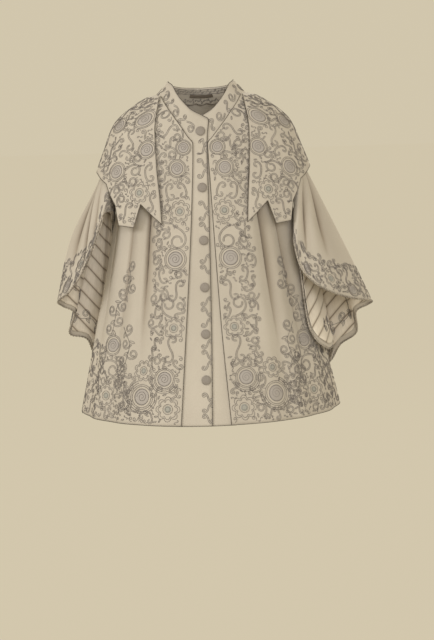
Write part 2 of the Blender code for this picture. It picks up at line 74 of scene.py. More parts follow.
FACING_ANGLE = math.radians(64)
FACING_DEPTH = 0.036
FACING_SCALLOPS = 11
FACING_SCALLOP_DEPTH = 0.004

LOOP_WIDTH = 0.042
LOOP_TAPE = 0.007
LOOP_DROP = 0.034
LOOP_BOW = 0.004


# Interpolation

def hermite(at, xs, ys, tangents):
    """Cubic curve through numbers or points with the given tangents."""
    at = np.clip(np.asarray(at, dtype=float), xs[0], xs[-1])
    i = np.clip(np.searchsorted(xs, at, side="right") - 1, 0, len(xs) - 2)
    widen = (...,) + (None,) * (ys.ndim - 1)
    step = (xs[i + 1] - xs[i])[widen]
    t = (at - xs[i])[widen] / step
    start = (1 + 2 * t) * (1 - t) ** 2 * ys[i] + t * (1 - t) ** 2 * step * tangents[i]
    end = t * t * (3 - 2 * t) * ys[i + 1] + t * t * (t - 1) * step * tangents[i + 1]
    return start + end


def monotone_tangents(xs, ys):
    """Tangents that keep a curve from overshooting its numbers or points."""
    step = np.diff(xs).reshape((-1,) + (1,) * (ys.ndim - 1))
    slope = np.diff(ys, axis=0) / step
    before = slope[:-1]
    after = slope[1:]
    same = before * after > 0
    weight_before = 2 * step[1:] + step[:-1]
    weight_after = step[1:] + 2 * step[:-1]
    safe_before = np.where(same, before, 1.0)
    safe_after = np.where(same, after, 1.0)
    mean = (weight_before + weight_after) / (weight_before / safe_before + weight_after / safe_after)
    return np.concatenate([slope[:1], np.where(same, mean, 0.0), slope[-1:]])


class Table:
    """Rows of sizes with named columns, read smoothly along the first column."""

    def __init__(self, columns, rows):
        self.names = columns.split()
        self.columns = dict(zip(self.names, np.array(rows, dtype=float).T))
        self.key = self.columns[self.names[0]]

    def __call__(self, column, at):
        values = self.columns[column]
        return hermite(at, self.key, values, monotone_tangents(self.key, values))

    def around(self, column, turn):
        """Read a table whose first column is a turn from 0 to 1 that closes on itself."""
        keys = np.concatenate([self.key[-2:] - 1, self.key, self.key[:2] + 1])
        values = self.columns[column]
        values = np.concatenate([values[-2:], values, values[:2]])
        return hermite(turn % 1.0, keys, values, np.gradient(values, keys))


def smoothstep(low, high, at):
    t = np.clip((at - low) / (high - low), 0.0, 1.0)
    return t * t * (3 - 2 * t)


# The figure that fills the cloth, as level sections

BODY = Table("drop half_width front_depth back_depth", (
    (0.000, 0.0775, 0.050, 0.062),
    (0.032, 0.1070, 0.066, 0.077),
    (0.060, 0.1490, 0.080, 0.091),
    (0.092, 0.1940, 0.094, 0.104),
    (0.130, 0.2010, 0.108, 0.114),
    (0.200, 0.2010, 0.124, 0.124),
    (0.280, 0.2080, 0.138, 0.134),
    (0.360, 0.2240, 0.150, 0.146),
    (0.500, 0.2520, 0.174, 0.172),
    (0.650, 0.2850, 0.201, 0.202),
    (0.820, 0.3220, 0.232, 0.236),
))

# The bell that the cape hangs on: over the shoulders, the sleeve heads and the fronts
CAPE = Table("drop half_width front_depth back_depth", (
    (0.024, 0.1060, 0.068, 0.086),
    (0.050, 0.1570, 0.084, 0.099),
    (0.100, 0.2160, 0.107, 0.118),
    (0.162, 0.2425, 0.120, 0.129),
    (0.212, 0.2615, 0.129, 0.136),
    (0.300, 0.2840, 0.142, 0.147),
    (0.375, 0.2990, 0.154, 0.158),
))

# Distance of each front's inner edge from the centre, the wearer's right and left
FRONT_EDGE = Table("drop right left", (
    (0.036, 0.0955, 0.0955),
    (0.055, 0.0860, 0.0850),
    (0.080, 0.0695, 0.0670),
    (0.108, 0.0500, 0.0455),
    (0.135, 0.0325, 0.0235),
    (0.148, 0.0225, 0.0130),
    (0.260, 0.0270, 0.0170),
    (0.400, 0.0360, 0.0230),
    (0.600, 0.0520, 0.0330),
    (0.815, 0.0700, 0.0490),
))

# Stand's edge past the centre front, for the button stand and the underlap
STAND_EDGE = Table("drop right left", (
    (0.170, 0.0105, 0.020),
    (0.300, 0.0110, 0.021),
    (0.550, 0.0090, 0.026),
    (0.815, 0.0040, 0.032),
))

# Neckband, from the centre back over the shoulder and down the V: angles in degrees
NECKBAND = Table("station inner_angle inner_drop outer_angle outer_drop right_layer left_layer", (
    (0, 180.0, 0.0180, 180.0, 0.0580, 0.7, 0.7),
    (1, 155.0, 0.0165, 155.0, 0.0560, 0.7, 0.7),
    (2, 130.0, 0.0115, 130.0, 0.0510, 0.7, 0.7),
    (3, 108.0, 0.0040, 106.0, 0.0460, 0.7, 0.7),
    (4, 90.0, 0.0000, 90.0, 0.0440, 0.7, 0.7),
    (5, 74.0, 0.0020, 72.0, 0.0440, 0.7, 0.7),
    (6, 54.0, 0.0080, 55.0, 0.0470, 0.7, 0.7),
    (7, 33.0, 0.0300, 32.0, 0.0720, 0.7, 0.6),
    (8, 18.0, 0.0510, 21.5, 0.0950, 0.9, 0.3),
    (9, 7.0, 0.0715, 15.0, 0.1240, 1.0, 0.0),
    (10, -0.9, 0.0840, 11.3, 0.1440, 1.0, 0.0),
    (11, -4.9, 0.0945, 9.8, 0.1530, 1.0, 0.0),
    (12, -3.6, 0.1280, 9.8, 0.1610, 1.0, 0.0),
))
FACING_LAYER = -0.5

# Soft folds of the skirt: signed angles at the top and at the hem, then width and depths
SKIRT_FOLDS = Table("start top_angle hem_angle half_angle top_depth hem_depth", (
    (0.290, -40.0, -33.0, 5.0, 0.012, 0.005),
    (0.295, -54.0, -51.0, 7.0, 0.007, 0.010),
    (0.300, -76.0, -72.0, 8.0, 0.003, 0.010),
    (0.290, 38.0, 37.0, 5.0, 0.012, 0.006),
    (0.300, 52.0, 54.0, 7.0, 0.007, 0.010),
    (0.305, 74.0, 75.0, 8.0, 0.003, 0.009),
    (0.310, 108.0, 109.0, 8.0, 0.003, 0.010),
    (0.300, 134.0, 131.0, 8.0, 0.005, 0.012),
    (0.320, 161.0, 156.0, 7.0, 0.004, 0.011),
    (0.310, -110.0, -108.0, 8.0, 0.003, 0.011),
    (0.300, -133.0, -134.0, 8.0, 0.005, 0.012),
    (0.320, -160.0, -158.0, 7.0, 0.004, 0.010),
    (0.330, 182.0, 181.0, 7.0, 0.004, 0.011),
))

# Lower edge of the cape from its front edge (0) to the centre back (1)
CAPE_EDGE = Table("along drop", (
    (0.000, 0.338),
    (0.069, 0.289),
    (0.096, 0.345),
    (0.156, 0.340),
    (0.175, 0.292),
    (0.239, 0.241),
    (0.340, 0.219),
    (0.430, 0.210),
    (0.530, 0.221),
    (0.630, 0.248),
    (0.730, 0.285),
    (0.830, 0.318),
    (0.920, 0.338),
    (1.000, 0.345),
))

# Distance of the cape's front edge from the centre
CAPE_FRONT = Table("drop side", (
    (0.034, 0.1010),
    (0.120, 0.1130),
    (0.200, 0.1110),
    (0.270, 0.1060),
    (0.350, 0.1020),
))

# Lengthwise lines of the sleeves, a row for each fold: a point below the cape's edge and one on the hem.
# Turn 0 is the underarm, then front, outside and back. Out is from the centre, fore towards the front.
SLEEVE_COLUMNS = "turn mid_out mid_fore mid_drop hem_out hem_fore hem_drop billow"
SLEEVE_RIGHT = Table(SLEEVE_COLUMNS, (
    (0.00, 0.2215, 0.010, 0.286, 0.227, 0.030, 0.318, 0.000),
    (0.06, 0.2200, 0.046, 0.272, 0.234, 0.066, 0.308, 0.000),
    (0.12, 0.2300, 0.061, 0.258, 0.248, 0.086, 0.314, 0.002),
    (0.18, 0.2410, 0.053, 0.250, 0.262, 0.097, 0.358, 0.004),
    (0.24, 0.2490, 0.042, 0.245, 0.282, 0.102, 0.410, 0.006),
    (0.30, 0.2550, 0.030, 0.241, 0.306, 0.098, 0.456, 0.012),
    (0.36, 0.2590, 0.017, 0.239, 0.338, 0.080, 0.500, 0.018),
    (0.42, 0.2610, 0.004, 0.238, 0.371, 0.042, 0.528, 0.022),
    (0.48, 0.2600, -0.010, 0.241, 0.364, -0.008, 0.548, 0.020),
    (0.54, 0.2570, -0.027, 0.247, 0.338, -0.034, 0.570, 0.016),
    (0.60, 0.2510, -0.046, 0.254, 0.357, -0.076, 0.628, 0.012),
    (0.66, 0.2430, -0.060, 0.264, 0.314, -0.098, 0.648, 0.010),
    (0.71, 0.2370, -0.068, 0.274, 0.297, -0.128, 0.704, 0.008),
    (0.76, 0.2320, -0.072, 0.284, 0.279, -0.142, 0.700, 0.006),
    (0.82, 0.2280, -0.068, 0.293, 0.258, -0.132, 0.630, 0.002),
    (0.88, 0.2240, -0.056, 0.297, 0.240, -0.104, 0.530, 0.001),
    (0.94, 0.2220, -0.028, 0.294, 0.234, -0.050, 0.405, 0.000),
))
SLEEVE_LEFT = Table(SLEEVE_COLUMNS, (
    (0.00, 0.2225, 0.014, 0.290, 0.226, 0.080, 0.422, 0.000),
    (0.06, 0.2200, 0.048, 0.275, 0.215, 0.106, 0.382, 0.000),
    (0.12, 0.2290, 0.064, 0.262, 0.217, 0.126, 0.410, 0.000),
    (0.18, 0.2390, 0.057, 0.254, 0.229, 0.134, 0.452, 0.002),
    (0.24, 0.2480, 0.045, 0.247, 0.256, 0.137, 0.486, 0.004),
    (0.30, 0.2540, 0.032, 0.243, 0.296, 0.128, 0.512, 0.006),
    (0.36, 0.2590, 0.017, 0.239, 0.348, 0.098, 0.534, 0.005),
    (0.42, 0.2610, 0.004, 0.238, 0.405, 0.045, 0.550, 0.002),
    (0.48, 0.2600, -0.010, 0.241, 0.402, -0.008, 0.567, 0.004),
    (0.54, 0.2570, -0.027, 0.247, 0.374, -0.030, 0.588, 0.008),
    (0.60, 0.2510, -0.046, 0.254, 0.378, -0.068, 0.646, 0.012),
    (0.66, 0.2430, -0.060, 0.264, 0.338, -0.096, 0.682, 0.010),
    (0.71, 0.2370, -0.066, 0.274, 0.318, -0.114, 0.722, 0.008),
    (0.75, 0.2340, -0.064, 0.282, 0.309, -0.092, 0.724, 0.008),
    (0.80, 0.2330, -0.054, 0.291, 0.315, -0.026, 0.674, 0.008),
    (0.86, 0.2310, -0.034, 0.298, 0.292, 0.084, 0.660, 0.004),
    (0.93, 0.2290, -0.012, 0.298, 0.247, 0.110, 0.600, 0.002),
))

# Creases that run down a sleeve from under the cape
CREASE_COLUMNS = "turn top_turn half_turn depth start end"
CREASES_RIGHT = Table(CREASE_COLUMNS, (
    (0.36, 0.41, 0.032, 0.007, 0.20, 0.85),
    (0.24, 0.27, 0.032, 0.004, 0.25, 0.95),
    (0.57, 0.55, 0.035, 0.007, 0.20, 0.95),
    (0.69, 0.66, 0.035, 0.006, 0.20, 0.95),
    (0.29, 0.37, 0.013, 0.006, 0.15, 0.98),
))
CREASES_LEFT = Table(CREASE_COLUMNS, (
    (0.32, 0.34, 0.030, 0.006, 0.20, 0.80),
    (0.22, 0.22, 0.030, 0.006, 0.25, 0.85),
    (0.56, 0.55, 0.035, 0.007, 0.20, 0.95),
    (0.67, 0.66, 0.035, 0.006, 0.20, 0.95),
))


# Points on the forms

def section_point(form, angle, drop):
    """Point on a form of level half-ellipses, one to the front and one to the back."""
    front = np.cos(angle) > 0
    depth = np.where(front, form("front_depth", drop), form("back_depth", drop))
    across = form("half_width", drop) * np.sin(angle)
    return np.stack([across, -depth * np.cos(angle), -drop + 0.0 * angle], axis=-1)


def lifted(form, angle, drop, lift):
    """Point on a form, moved out along its normal."""
    angle, drop = np.broadcast_arrays(np.asarray(angle, dtype=float), np.asarray(drop, dtype=float))
    nudge = 1e-4
    point = section_point(form, angle, drop)
    along = section_point(form, angle + nudge, drop) - section_point(form, angle - nudge, drop)
    down = section_point(form, angle, drop + nudge) - section_point(form, angle, drop - nudge)
    normal = np.cross(down, along)
    normal /= np.linalg.norm(normal, axis=-1, keepdims=True)
    return point + normal * np.broadcast_to(lift, angle.shape)[..., None]


def angle_at(form, distance, drop):
    """Angle at which a form stands this far from the centre, on its front half."""
    return np.arcsin(np.clip(distance / form("half_width", drop), -1.0, 1.0))


FOLD_RISE = 0.09               # how far above its start a fold begins to show
FOLD_SETTLE = 0.03             # how far below its start it has its full depth


def each_fold(angle, drop):
    """Each skirt fold's start, width and depths, the share of the way down it, and degrees aside from it."""
    turned = np.degrees(angle)
    for start, top, hem, half, top_depth, hem_depth in zip(*SKIRT_FOLDS.columns.values()):
        share = np.clip((drop - start) / (LENGTH - start), 0.0, 1.0)
        centre = top + (hem - top) * share
        away = (turned - centre + 180.0) % 360.0 - 180.0
        yield start, half, top_depth, hem_depth, share, away


def skirt_fold(angle, drop):
    """How far the skirt's folds draw the cloth in."""
    total = np.zeros(np.broadcast(angle, drop).shape)
    for start, half, top_depth, hem_depth, share, away in each_fold(angle, drop):
        shown = smoothstep(start - FOLD_RISE, start + FOLD_SETTLE, drop)
        depth = (top_depth + (hem_depth - top_depth) * share) * shown
        total += depth * np.exp(-(away / half) ** 2)
    return total


def armhole(drop):
    """Angle that the armhole takes off the side of a front or of the back."""
    share = np.clip((drop - ARMHOLE_TOP) / (ARMHOLE_BOTTOM - ARMHOLE_TOP), 0.0, 1.0)
    return ARMHOLE_ANGLE * np.sin(np.pi * share) ** ARMHOLE_SHARPNESS


def side_seam(drop):
    """Angle of half the gap at a side or shoulder seam, where the sections' ends are tightly curved."""
    return SEAM / BODY("front_depth", drop)


def side_edge(drop):
    """Angle of a panel's outer edge from its centre: the side seam, and round the armhole."""
    return np.pi / 2 - side_seam(drop) - armhole(drop)


def centre_seam(form, drop):
    """Angle of half the gap at a centre back seam."""
    return SEAM / form("half_width", drop)


# Turning grids of points into cloth

def mirrored(grid):
    """The same cloth on the wearer's right side, still facing out."""
    return grid[:, ::-1] * np.array([-1.0, 1.0, 1.0])


def grid_normals(grid, closed):
    """Outward direction at each point of a grid."""
    down = np.gradient(grid, axis=0)
    if closed:
        along = np.roll(grid, -1, axis=1) - np.roll(grid, 1, axis=1)
    else:
        along = np.gradient(grid, axis=1)
    normal = np.cross(down, along)
    return normal / np.linalg.norm(normal, axis=-1, keepdims=True)


# Grounds: pieces of cloth that braid is laid on, by two coordinates and a height above the outer face

class FormGround:
    """Cloth on a form, by angle and drop, mirrored by the side's sign so that both sides share a design."""

    def __init__(self, form, lift, side):
        self.form = form
        self.lift = lift
        self.side = side

    def at(self, angle, drop, height):
        lift = self.lift(angle, drop) + 0.5 * CLOTH + height
        return lifted(self.form, angle, drop, lift) * np.array([self.side, 1.0, 1.0])

    def spot(self, distance, drop):
        """Angle and drop of a place this far from the centre, on the front half."""
        return float(angle_at(self.form, distance, drop)), drop


class GridGround:
    """Cloth as a fine grid that faces out, by shares along its columns and rows, or its mirror image."""

    def __init__(self, grid, thickness, closed=False, inside=False, side=1.0):
        normal = grid_normals(grid, closed)
        if inside:
            normal = -normal
        if closed:
            grid = np.concatenate([grid, grid[:, :1]], axis=1)
            normal = np.concatenate([normal, normal[:, :1]], axis=1)
        self.grid = grid
        self.normal = normal
        self.half = 0.5 * thickness
        self.closed = closed
        self.side = side

    def at(self, across, down, height):
        across, down = np.broadcast_arrays(np.asarray(across, dtype=float), np.asarray(down, dtype=float))
        rows, columns = self.grid.shape[:2]
        if self.closed:
            across = across % 1.0
        x = np.clip(across, 0.0, 1.0) * (columns - 1)
        y = np.clip(down, 0.0, 1.0) * (rows - 1)
        i = np.minimum(y.astype(int), rows - 2)
        j = np.minimum(x.astype(int), columns - 2)
        s = (x - j)[..., None]
        t = (y - i)[..., None]

        def blend(values):
            upper = values[i, j] * (1 - s) + values[i, j + 1] * s
            lower = values[i + 1, j] * (1 - s) + values[i + 1, j + 1] * s
            return upper * (1 - t) + lower * t

        normal = blend(self.normal)
        normal = normal / np.linalg.norm(normal, axis=-1, keepdims=True)
        point = blend(self.grid) + normal * np.broadcast_to(self.half + height, across.shape)[..., None]
        return point * np.array([self.side, 1.0, 1.0])


def rates(ground, a, b):
    """Metres of cloth for each unit of a ground's two coordinates."""
    nudge = 2e-3
    along_a = ground.at(a + nudge, b, 0.0) - ground.at(a - nudge, b, 0.0)
    along_b = ground.at(a, b + nudge, 0.0) - ground.at(a, b - nudge, 0.0)
    return np.linalg.norm(along_a, axis=-1) / (2 * nudge), np.linalg.norm(along_b, axis=-1) / (2 * nudge)


def run_along(points):
    """Distance along a path at each of its points."""
    return np.concatenate([[0.0], np.cumsum(np.linalg.norm(np.diff(points, axis=0), axis=1))])


def spaced(ground, a, b, spacing):
    """Places at equal distances along a path on a ground, each with the path's heading there."""
    nudge = 1e-3
    run = run_along(ground.at(a, b, 0.0))
    count = max(1, int(round(run[-1] / spacing)))
    stops = (np.arange(count) + 0.5) / count * run[-1]
    at_a = np.interp(stops, run, a)
    at_b = np.interp(stops, run, b)
    ahead_a = np.interp(stops + nudge, run, a) - np.interp(stops - nudge, run, a)
    ahead_b = np.interp(stops + nudge, run, b) - np.interp(stops - nudge, run, b)
    places = []
    for k in range(count):
        rate_a, rate_b = rates(ground, at_a[k], at_b[k])
        places.append((at_a[k], at_b[k], math.atan2(-ahead_b[k] * rate_b, ahead_a[k] * rate_a)))
    return places


# Braid motifs: lines about the origin, about one unit in radius

def ring(radius, points=40):
    turn = np.linspace(0.0, 2 * np.pi, points + 1)
    return np.stack([radius * np.cos(turn), radius * np.sin(turn)], axis=-1)


def spiral(outer, inner, turns, points=64):
    share = np.linspace(0.0, 1.0, points)
    radius = outer + (inner - outer) * share
    turn = 2 * np.pi * turns * share
    return np.stack([radius * np.cos(turn), radius * np.sin(turn)], axis=-1)


def centred(line):
    """A line moved to the middle and brought to one unit in half-length."""
    low = line.min(axis=0)
    high = line.max(axis=0)
    return (line - 0.5 * (low + high)) / (0.5 * np.max(high - low))


def winding(heading):
    """A line of even speed that follows a run of headings."""
    step = np.stack([np.cos(heading), np.sin(heading)], axis=-1)
    return np.concatenate([[[0.0, 0.0]], np.cumsum(0.5 * (step[1:] + step[:-1]), axis=0)])


def s_scroll(turns=0.95, points=56):
    share = np.linspace(-1.0, 1.0, points)
    return [centred(winding(2 * np.pi * turns * share ** 2))]


def c_scroll(turns=0.85, points=56):
    share = np.linspace(-1.0, 1.0, points)
    return [centred(winding(2 * np.pi * turns * share * np.abs(share)))]


def curl(turns=1.25, tightening=1.7, points=40):
    share = np.linspace(0.0, 1.0, points)
    return [centred(winding(2 * np.pi * turns * share ** tightening))]


def rosette():
    return [ring(1.0), ring(0.86), ring(0.64), spiral(0.46, 0.08, 1.8)]


def petals(radius, count=8, valley=0.66, roundness=0.6, points=120):
    """The outline of a flower, with valleys between its petals at a share of its radius."""
    turn = np.linspace(0.0, 2 * np.pi, points + 1)
    reach = radius * (valley + (1.0 - valley) * np.abs(np.cos(0.5 * count * turn)) ** roundness)
    return np.stack([reach * np.cos(turn), reach * np.sin(turn)], axis=-1)


def daisy():
    return [petals(1.0), petals(0.80), ring(0.40, 24), ring(0.20, 14)]


def leaf(half_width=0.30, roundness=0.8, points=14):
    share = np.linspace(0.0, 1.0, points)
    side = half_width * np.sin(np.pi * share) ** roundness
    there = np.stack([2 * share - 1, side], axis=-1)
    back = np.stack([1 - 2 * share, -side], axis=-1)
    return [np.concatenate([there, back[1:]])]


def sweep(radius, start, end, points=30):
    """An arc between two directions, in degrees from straight up, turning outward."""
    turn = np.radians(np.linspace(start, end, points))
    return np.stack([radius * np.sin(turn), radius * np.cos(turn)], axis=-1)


MOTIFS = {
    "rosette": rosette(),
    "daisy": daisy(),
    "s_scroll": s_scroll(),
    "c_scroll": c_scroll(),
    "curl": curl(),
    "leaf": leaf(),
}


def paired(line, gap):
    """Two lines side by side along one."""
    along = np.gradient(line, axis=0)
    along = along / np.linalg.norm(along, axis=-1, keepdims=True)
    aside = np.stack([-along[:, 1], along[:, 0]], axis=-1)
    return [line + 0.5 * gap * aside, line - 0.5 * gap * aside]


BRAID_HEIGHT = 0.0004          # the braid's middle above the cloth, so that it lies sunk in the nap


def laid(ground, place, lines, size, turn=0.0, flip=1.0, gap=0.0):
    """A motif's lines on the cloth, turned, sized and set at a place; a gap lays each line double."""
    a, b = place[:2]
    rate_a, rate_b = rates(ground, a, b)
    cosine = math.cos(turn)
    sine = math.sin(turn)
    result = []
    for line in lines:
        sized = line * np.array([size, size * flip])
        for single in paired(sized, gap) if gap else [sized]:
            x, y = single.T
            at_a = a + (x * cosine - y * sine) / rate_a
            at_b = b - (x * sine + y * cosine) / rate_b
            result.append(ground.at(at_a, at_b, BRAID_HEIGHT))
    return result


# Cloth with its fine folds

SIGNS = {"right": -1.0, "left": 1.0}
LEFT_FRONT_RISE = 0.35         # share of the left front over which it rises to the fronts' layer
RIPPLE = 0.0007                # soft unevenness of hanging wool
CAPE_RIPPLE = 0.0006
CAPE_RIPPLE_DROPS = (0.06, 0.16)   # the cape is even above the first and has its full ripple below the second
FOLD_LINE = 0.0120             # depth of the sharp step inside a deep fold
FOLD_FULL = 0.012              # depth of a fold that has the whole step
FOLD_STEP_ANGLE = 0.8          # degrees over which the cloth drops at the step
FOLD_LINE_ANGLE = 1.5          # degrees over which it comes half out again at once
FOLD_EASE_ANGLE = 7.0          # and the rest slowly
FOLD_FADE = (0.2, 0.75)        # shares of the way to the hem between which the step fades

# Ripples as waves for each radian round the body and for each metre down it, and where they start
BODY_WAVES = (
    (9.0, 11.0, 0.0),
    (17.0, -23.0, 1.3),
    (5.0, 31.0, 0.0),
)
CAPE_WAVES = (
    (7.0, 9.0, 0.0),
    (13.0, -17.0, 0.0),
)


def waves(rows, angle, drop):
    return sum(np.sin(around * angle + down * drop + start) for around, down, start in rows)


def ripple(angle, drop):
    """Soft unevenness, the same for every layer on the body."""
    return RIPPLE * waves(BODY_WAVES, angle, drop) / len(BODY_WAVES)


def fold_steps(angle, drop):
    """Sharp steps inside the skirt's deepest folds, from 0 to 1, fading towards the hem."""
    total = np.zeros(np.broadcast(angle, drop).shape)
    for start, _, top_depth, _, share, away in each_fold(angle, drop):
        shown = smoothstep(start - FOLD_RISE, start, drop) * (1.0 - smoothstep(*FOLD_FADE, share))
        step = np.exp(-(np.minimum(away, 0.0) / FOLD_STEP_ANGLE) ** 2)
        behind = np.maximum(away, 0.0)
        ease = 0.5 * np.exp(-behind / FOLD_LINE_ANGLE) + 0.5 * np.exp(-behind / FOLD_EASE_ANGLE)
        total += (top_depth / FOLD_FULL) * shown * step * ease
    return total


def front_lift(side):
    """How far a front's middle lies off the body, as a function of angle and drop."""
    sign = SIGNS[side]

    def lift(angle, drop):
        angle, drop = np.broadcast_arrays(np.asarray(angle, dtype=float), np.asarray(drop, dtype=float))
        result = 2 * LAYER - skirt_fold(sign * angle, drop) + ripple(angle, drop)
        result = result - FOLD_LINE * fold_steps(sign * angle, drop)
        if side == "left":
            inner = angle_at(BODY, FRONT_EDGE(side, drop), drop)
            outer = side_edge(drop)
            share = (angle - inner) / (outer - inner)
            under = 1.0 - smoothstep(0.0, LEFT_FRONT_RISE, share)
            result = result - LAYER * under * smoothstep(FRONT_TOP, V_BOTTOM, drop)
        return result

    return lift


def back_lift(angle, drop):
    return 2 * LAYER - skirt_fold(angle, drop) - FOLD_LINE * fold_steps(angle, drop) + ripple(angle, drop)


def cape_lift(angle, drop):
    """The cape's own unevenness, never towards the body."""
    away = len(CAPE_WAVES) + waves(CAPE_WAVES, angle, drop)
    return CAPE_RIPPLE * away * smoothstep(*CAPE_RIPPLE_DROPS, drop)


BACK_GROUND = FormGround(BODY, back_lift, 1.0)
FRONT_GROUNDS = {side: FormGround(BODY, front_lift(side), sign) for side, sign in SIGNS.items()}
CAPE_GROUNDS = {side: FormGround(CAPE, cape_lift, sign) for side, sign in SIGNS.items()}

FRONT_FINE_ROWS = 84
FRONT_FINE_COLUMNS = 96
BACK_FINE_COLUMNS = 110
BAND_NECK_ROWS = 90
BAND_STAND_ROWS = 110
BAND_FINE_COLUMNS = 9


def front_grid(side):
    drop = np.linspace(FRONT_TOP, LENGTH, FRONT_FINE_ROWS)[:, None]
    inner = angle_at(BODY, FRONT_EDGE(side, drop), drop)
    outer = side_edge(drop)
    angle = inner + (outer - inner) * np.linspace(0.0, 1.0, FRONT_FINE_COLUMNS)[None, :]
    drop = drop + 0.0 * angle
    grid = lifted(BODY, angle, drop, front_lift(side)(angle, drop))
    shade = fold_steps(SIGNS[side] * angle, drop)
    if side == "right":
        return mirrored(grid), shade[:, ::-1]
    return grid, shade


def back_grid():
    across = np.linspace(-1.0, 1.0, BACK_FINE_COLUMNS)[None, :]
    share = np.linspace(0.0, 1.0, FRONT_FINE_ROWS)[:, None]
    top = FRONT_TOP + (BACK_TOP_CENTRE - FRONT_TOP) * np.cos(across * np.pi / 2)
    drop = top + (LENGTH - top) * share
    angle = np.pi + across * side_edge(drop)
    return lifted(BODY, angle, drop, back_lift(angle, drop)), fold_steps(angle, drop)


def band_grid(side):
    stations = np.linspace(NECKBAND.key[0], NECKBAND.key[-1], BAND_NECK_ROWS)[:, None]
    stand = np.linspace(STAND_TOP, LENGTH, BAND_STAND_ROWS)[:, None]
    inner_angle = np.concatenate([np.radians(NECKBAND("inner_angle", stations)),
                                  angle_at(BODY, -STAND_EDGE(side, stand), stand)])
    outer_angle = np.concatenate([np.radians(NECKBAND("outer_angle", stations)),
                                  angle_at(BODY, FRONT_EDGE(side, stand) + BAND_LAP, stand)])
    inner_drop = np.concatenate([NECKBAND("inner_drop", stations), stand])
    outer_drop = np.concatenate([NECKBAND("outer_drop", stations), stand])
    seam = centre_seam(BODY, inner_drop[0, 0])
    inner_angle[0] -= seam
    outer_angle[0] -= seam
    across = np.linspace(0.0, 1.0, BAND_FINE_COLUMNS)[None, :]
    angle = inner_angle + (outer_angle - inner_angle) * across
    drop = inner_drop + (outer_drop - inner_drop) * across
    layer = np.concatenate([NECKBAND(side + "_layer", stations), np.full(stand.shape, STAND_LAYER[side])])
    return lifted(BODY, angle, drop, LAYER * layer + ripple(angle, drop))


FACING_FINE_COLUMNS = 12 * FACING_SCALLOPS + 1
FACING_FINE_ROWS = 12
FACING_LIFT = FACING_LAYER * LAYER


def facing_grid():
    across = np.linspace(-1.0, 1.0, FACING_FINE_COLUMNS)[None, :]
    share = np.linspace(0.0, 1.0, FACING_FINE_ROWS)[:, None]
    angle = np.pi + across * FACING_ANGLE
    from_back = 180.0 - NECKBAND.columns["inner_angle"]
    top = np.interp(np.abs(across) * np.degrees(FACING_ANGLE), from_back, NECKBAND.columns["inner_drop"])
    scallop = FACING_SCALLOP_DEPTH * np.abs(np.sin(0.5 * np.pi * FACING_SCALLOPS * (across + 1.0)))
    drop = top + LAYER_GAP + (FACING_DEPTH + scallop) * share
    return lifted(BODY, angle, drop, FACING_LIFT)


LOOP_FINE_COLUMNS = 33
LOOP_FINE_ROWS = 7


def loop_grid():
    across = np.linspace(-1.0, 1.0, LOOP_FINE_COLUMNS)[None, :]
    share = np.linspace(-0.5, 0.5, LOOP_FINE_ROWS)[:, None]
    angle = np.pi + across * 0.5 * LOOP_WIDTH / BODY("back_depth", LOOP_DROP) + 0.0 * share
    seat = FACING_LIFT - 0.5 * (CLOTH + LINING_CLOTH) - 2 * SEAM
    lift = seat - LOOP_BOW * np.cos(across * np.pi / 2) + 0.0 * share
    return lifted(BODY, angle, LOOP_DROP + LOOP_TAPE * share, lift)


CAPE_FINE_ROWS = 60
CAPE_FINE_COLUMNS = 110
CAPE_SHOULDER = 0.45           # share along the cape from which its neck edge drops to the centre back


def cape_top(along):
    return CAPE_FRONT.key[0] + (BACK_TOP_CENTRE - CAPE_FRONT.key[0]) * smoothstep(CAPE_SHOULDER, 1.0, along)


def cape_bottom(along):
    return np.interp(along, CAPE_EDGE.key, CAPE_EDGE.columns["drop"])


def cape_angle(along, drop):
    front = angle_at(CAPE, CAPE_FRONT("side", drop), drop)
    return front + along * (np.pi - centre_seam(CAPE, drop) - front)


def cape_along(angle, drop):
    front = angle_at(CAPE, CAPE_FRONT("side", drop), drop)
    return (angle - front) / (np.pi - centre_seam(CAPE, drop) - front)


def cape_stops(count):
    """Shares along the cape, with one at each corner of its lower edge."""
    return np.sort(np.concatenate([np.linspace(0.0, 1.0, count), CAPE_EDGE.key[1:-1]]))


def cape_grid():
    along = cape_stops(CAPE_FINE_COLUMNS)[None, :]
    share = np.linspace(0.0, 1.0, CAPE_FINE_ROWS)[:, None]
    drop = cape_top(along) + (cape_bottom(along) - cape_top(along)) * share
    angle = cape_angle(along, drop)
    return lifted(CAPE, angle, drop, cape_lift(angle, drop))


SLEEVE_TURNS = 176
SLEEVE_STEPS = np.linspace(0.0, 1.0, 73)
LINING_START = 8               # step at which the lining starts, below the armhole
LINING_HEM_SHARE = 0.9775      # how far down the lining's last line goes
LINE_STOPS = np.array([0.0, 0.33, 0.66, 1.0])
ARMHOLE_LAP = math.radians(3)  # how far the sleeve's head laps over the armhole's edge
HEAD_LIFT = 2 * LAYER + 0.5 * CLOTH + 2 * SEAM + LAYER_GAP


def line_points(lines, level, turn):
    """Points of a sleeve's lengthwise lines, at their middle or at the hem."""
    out = lines.around(level + "_out", turn)
    fore = lines.around(level + "_fore", turn)
    drop = lines.around(level + "_drop", turn)
    return np.stack([out, -fore, -drop], axis=-1)


CREASE_LINE = 0.006            # depth of the sharp line inside a crease
CREASE_LINE_TURN = 0.008       # half-width of that line, as a share of the way round
CREASE_FULL = 0.007            # depth of a crease that has the whole line
CREASE_LINE_SHADE = 0.6        # how dark the line is, and the soft valley round it
CREASE_VALLEY_SHADE = 0.4


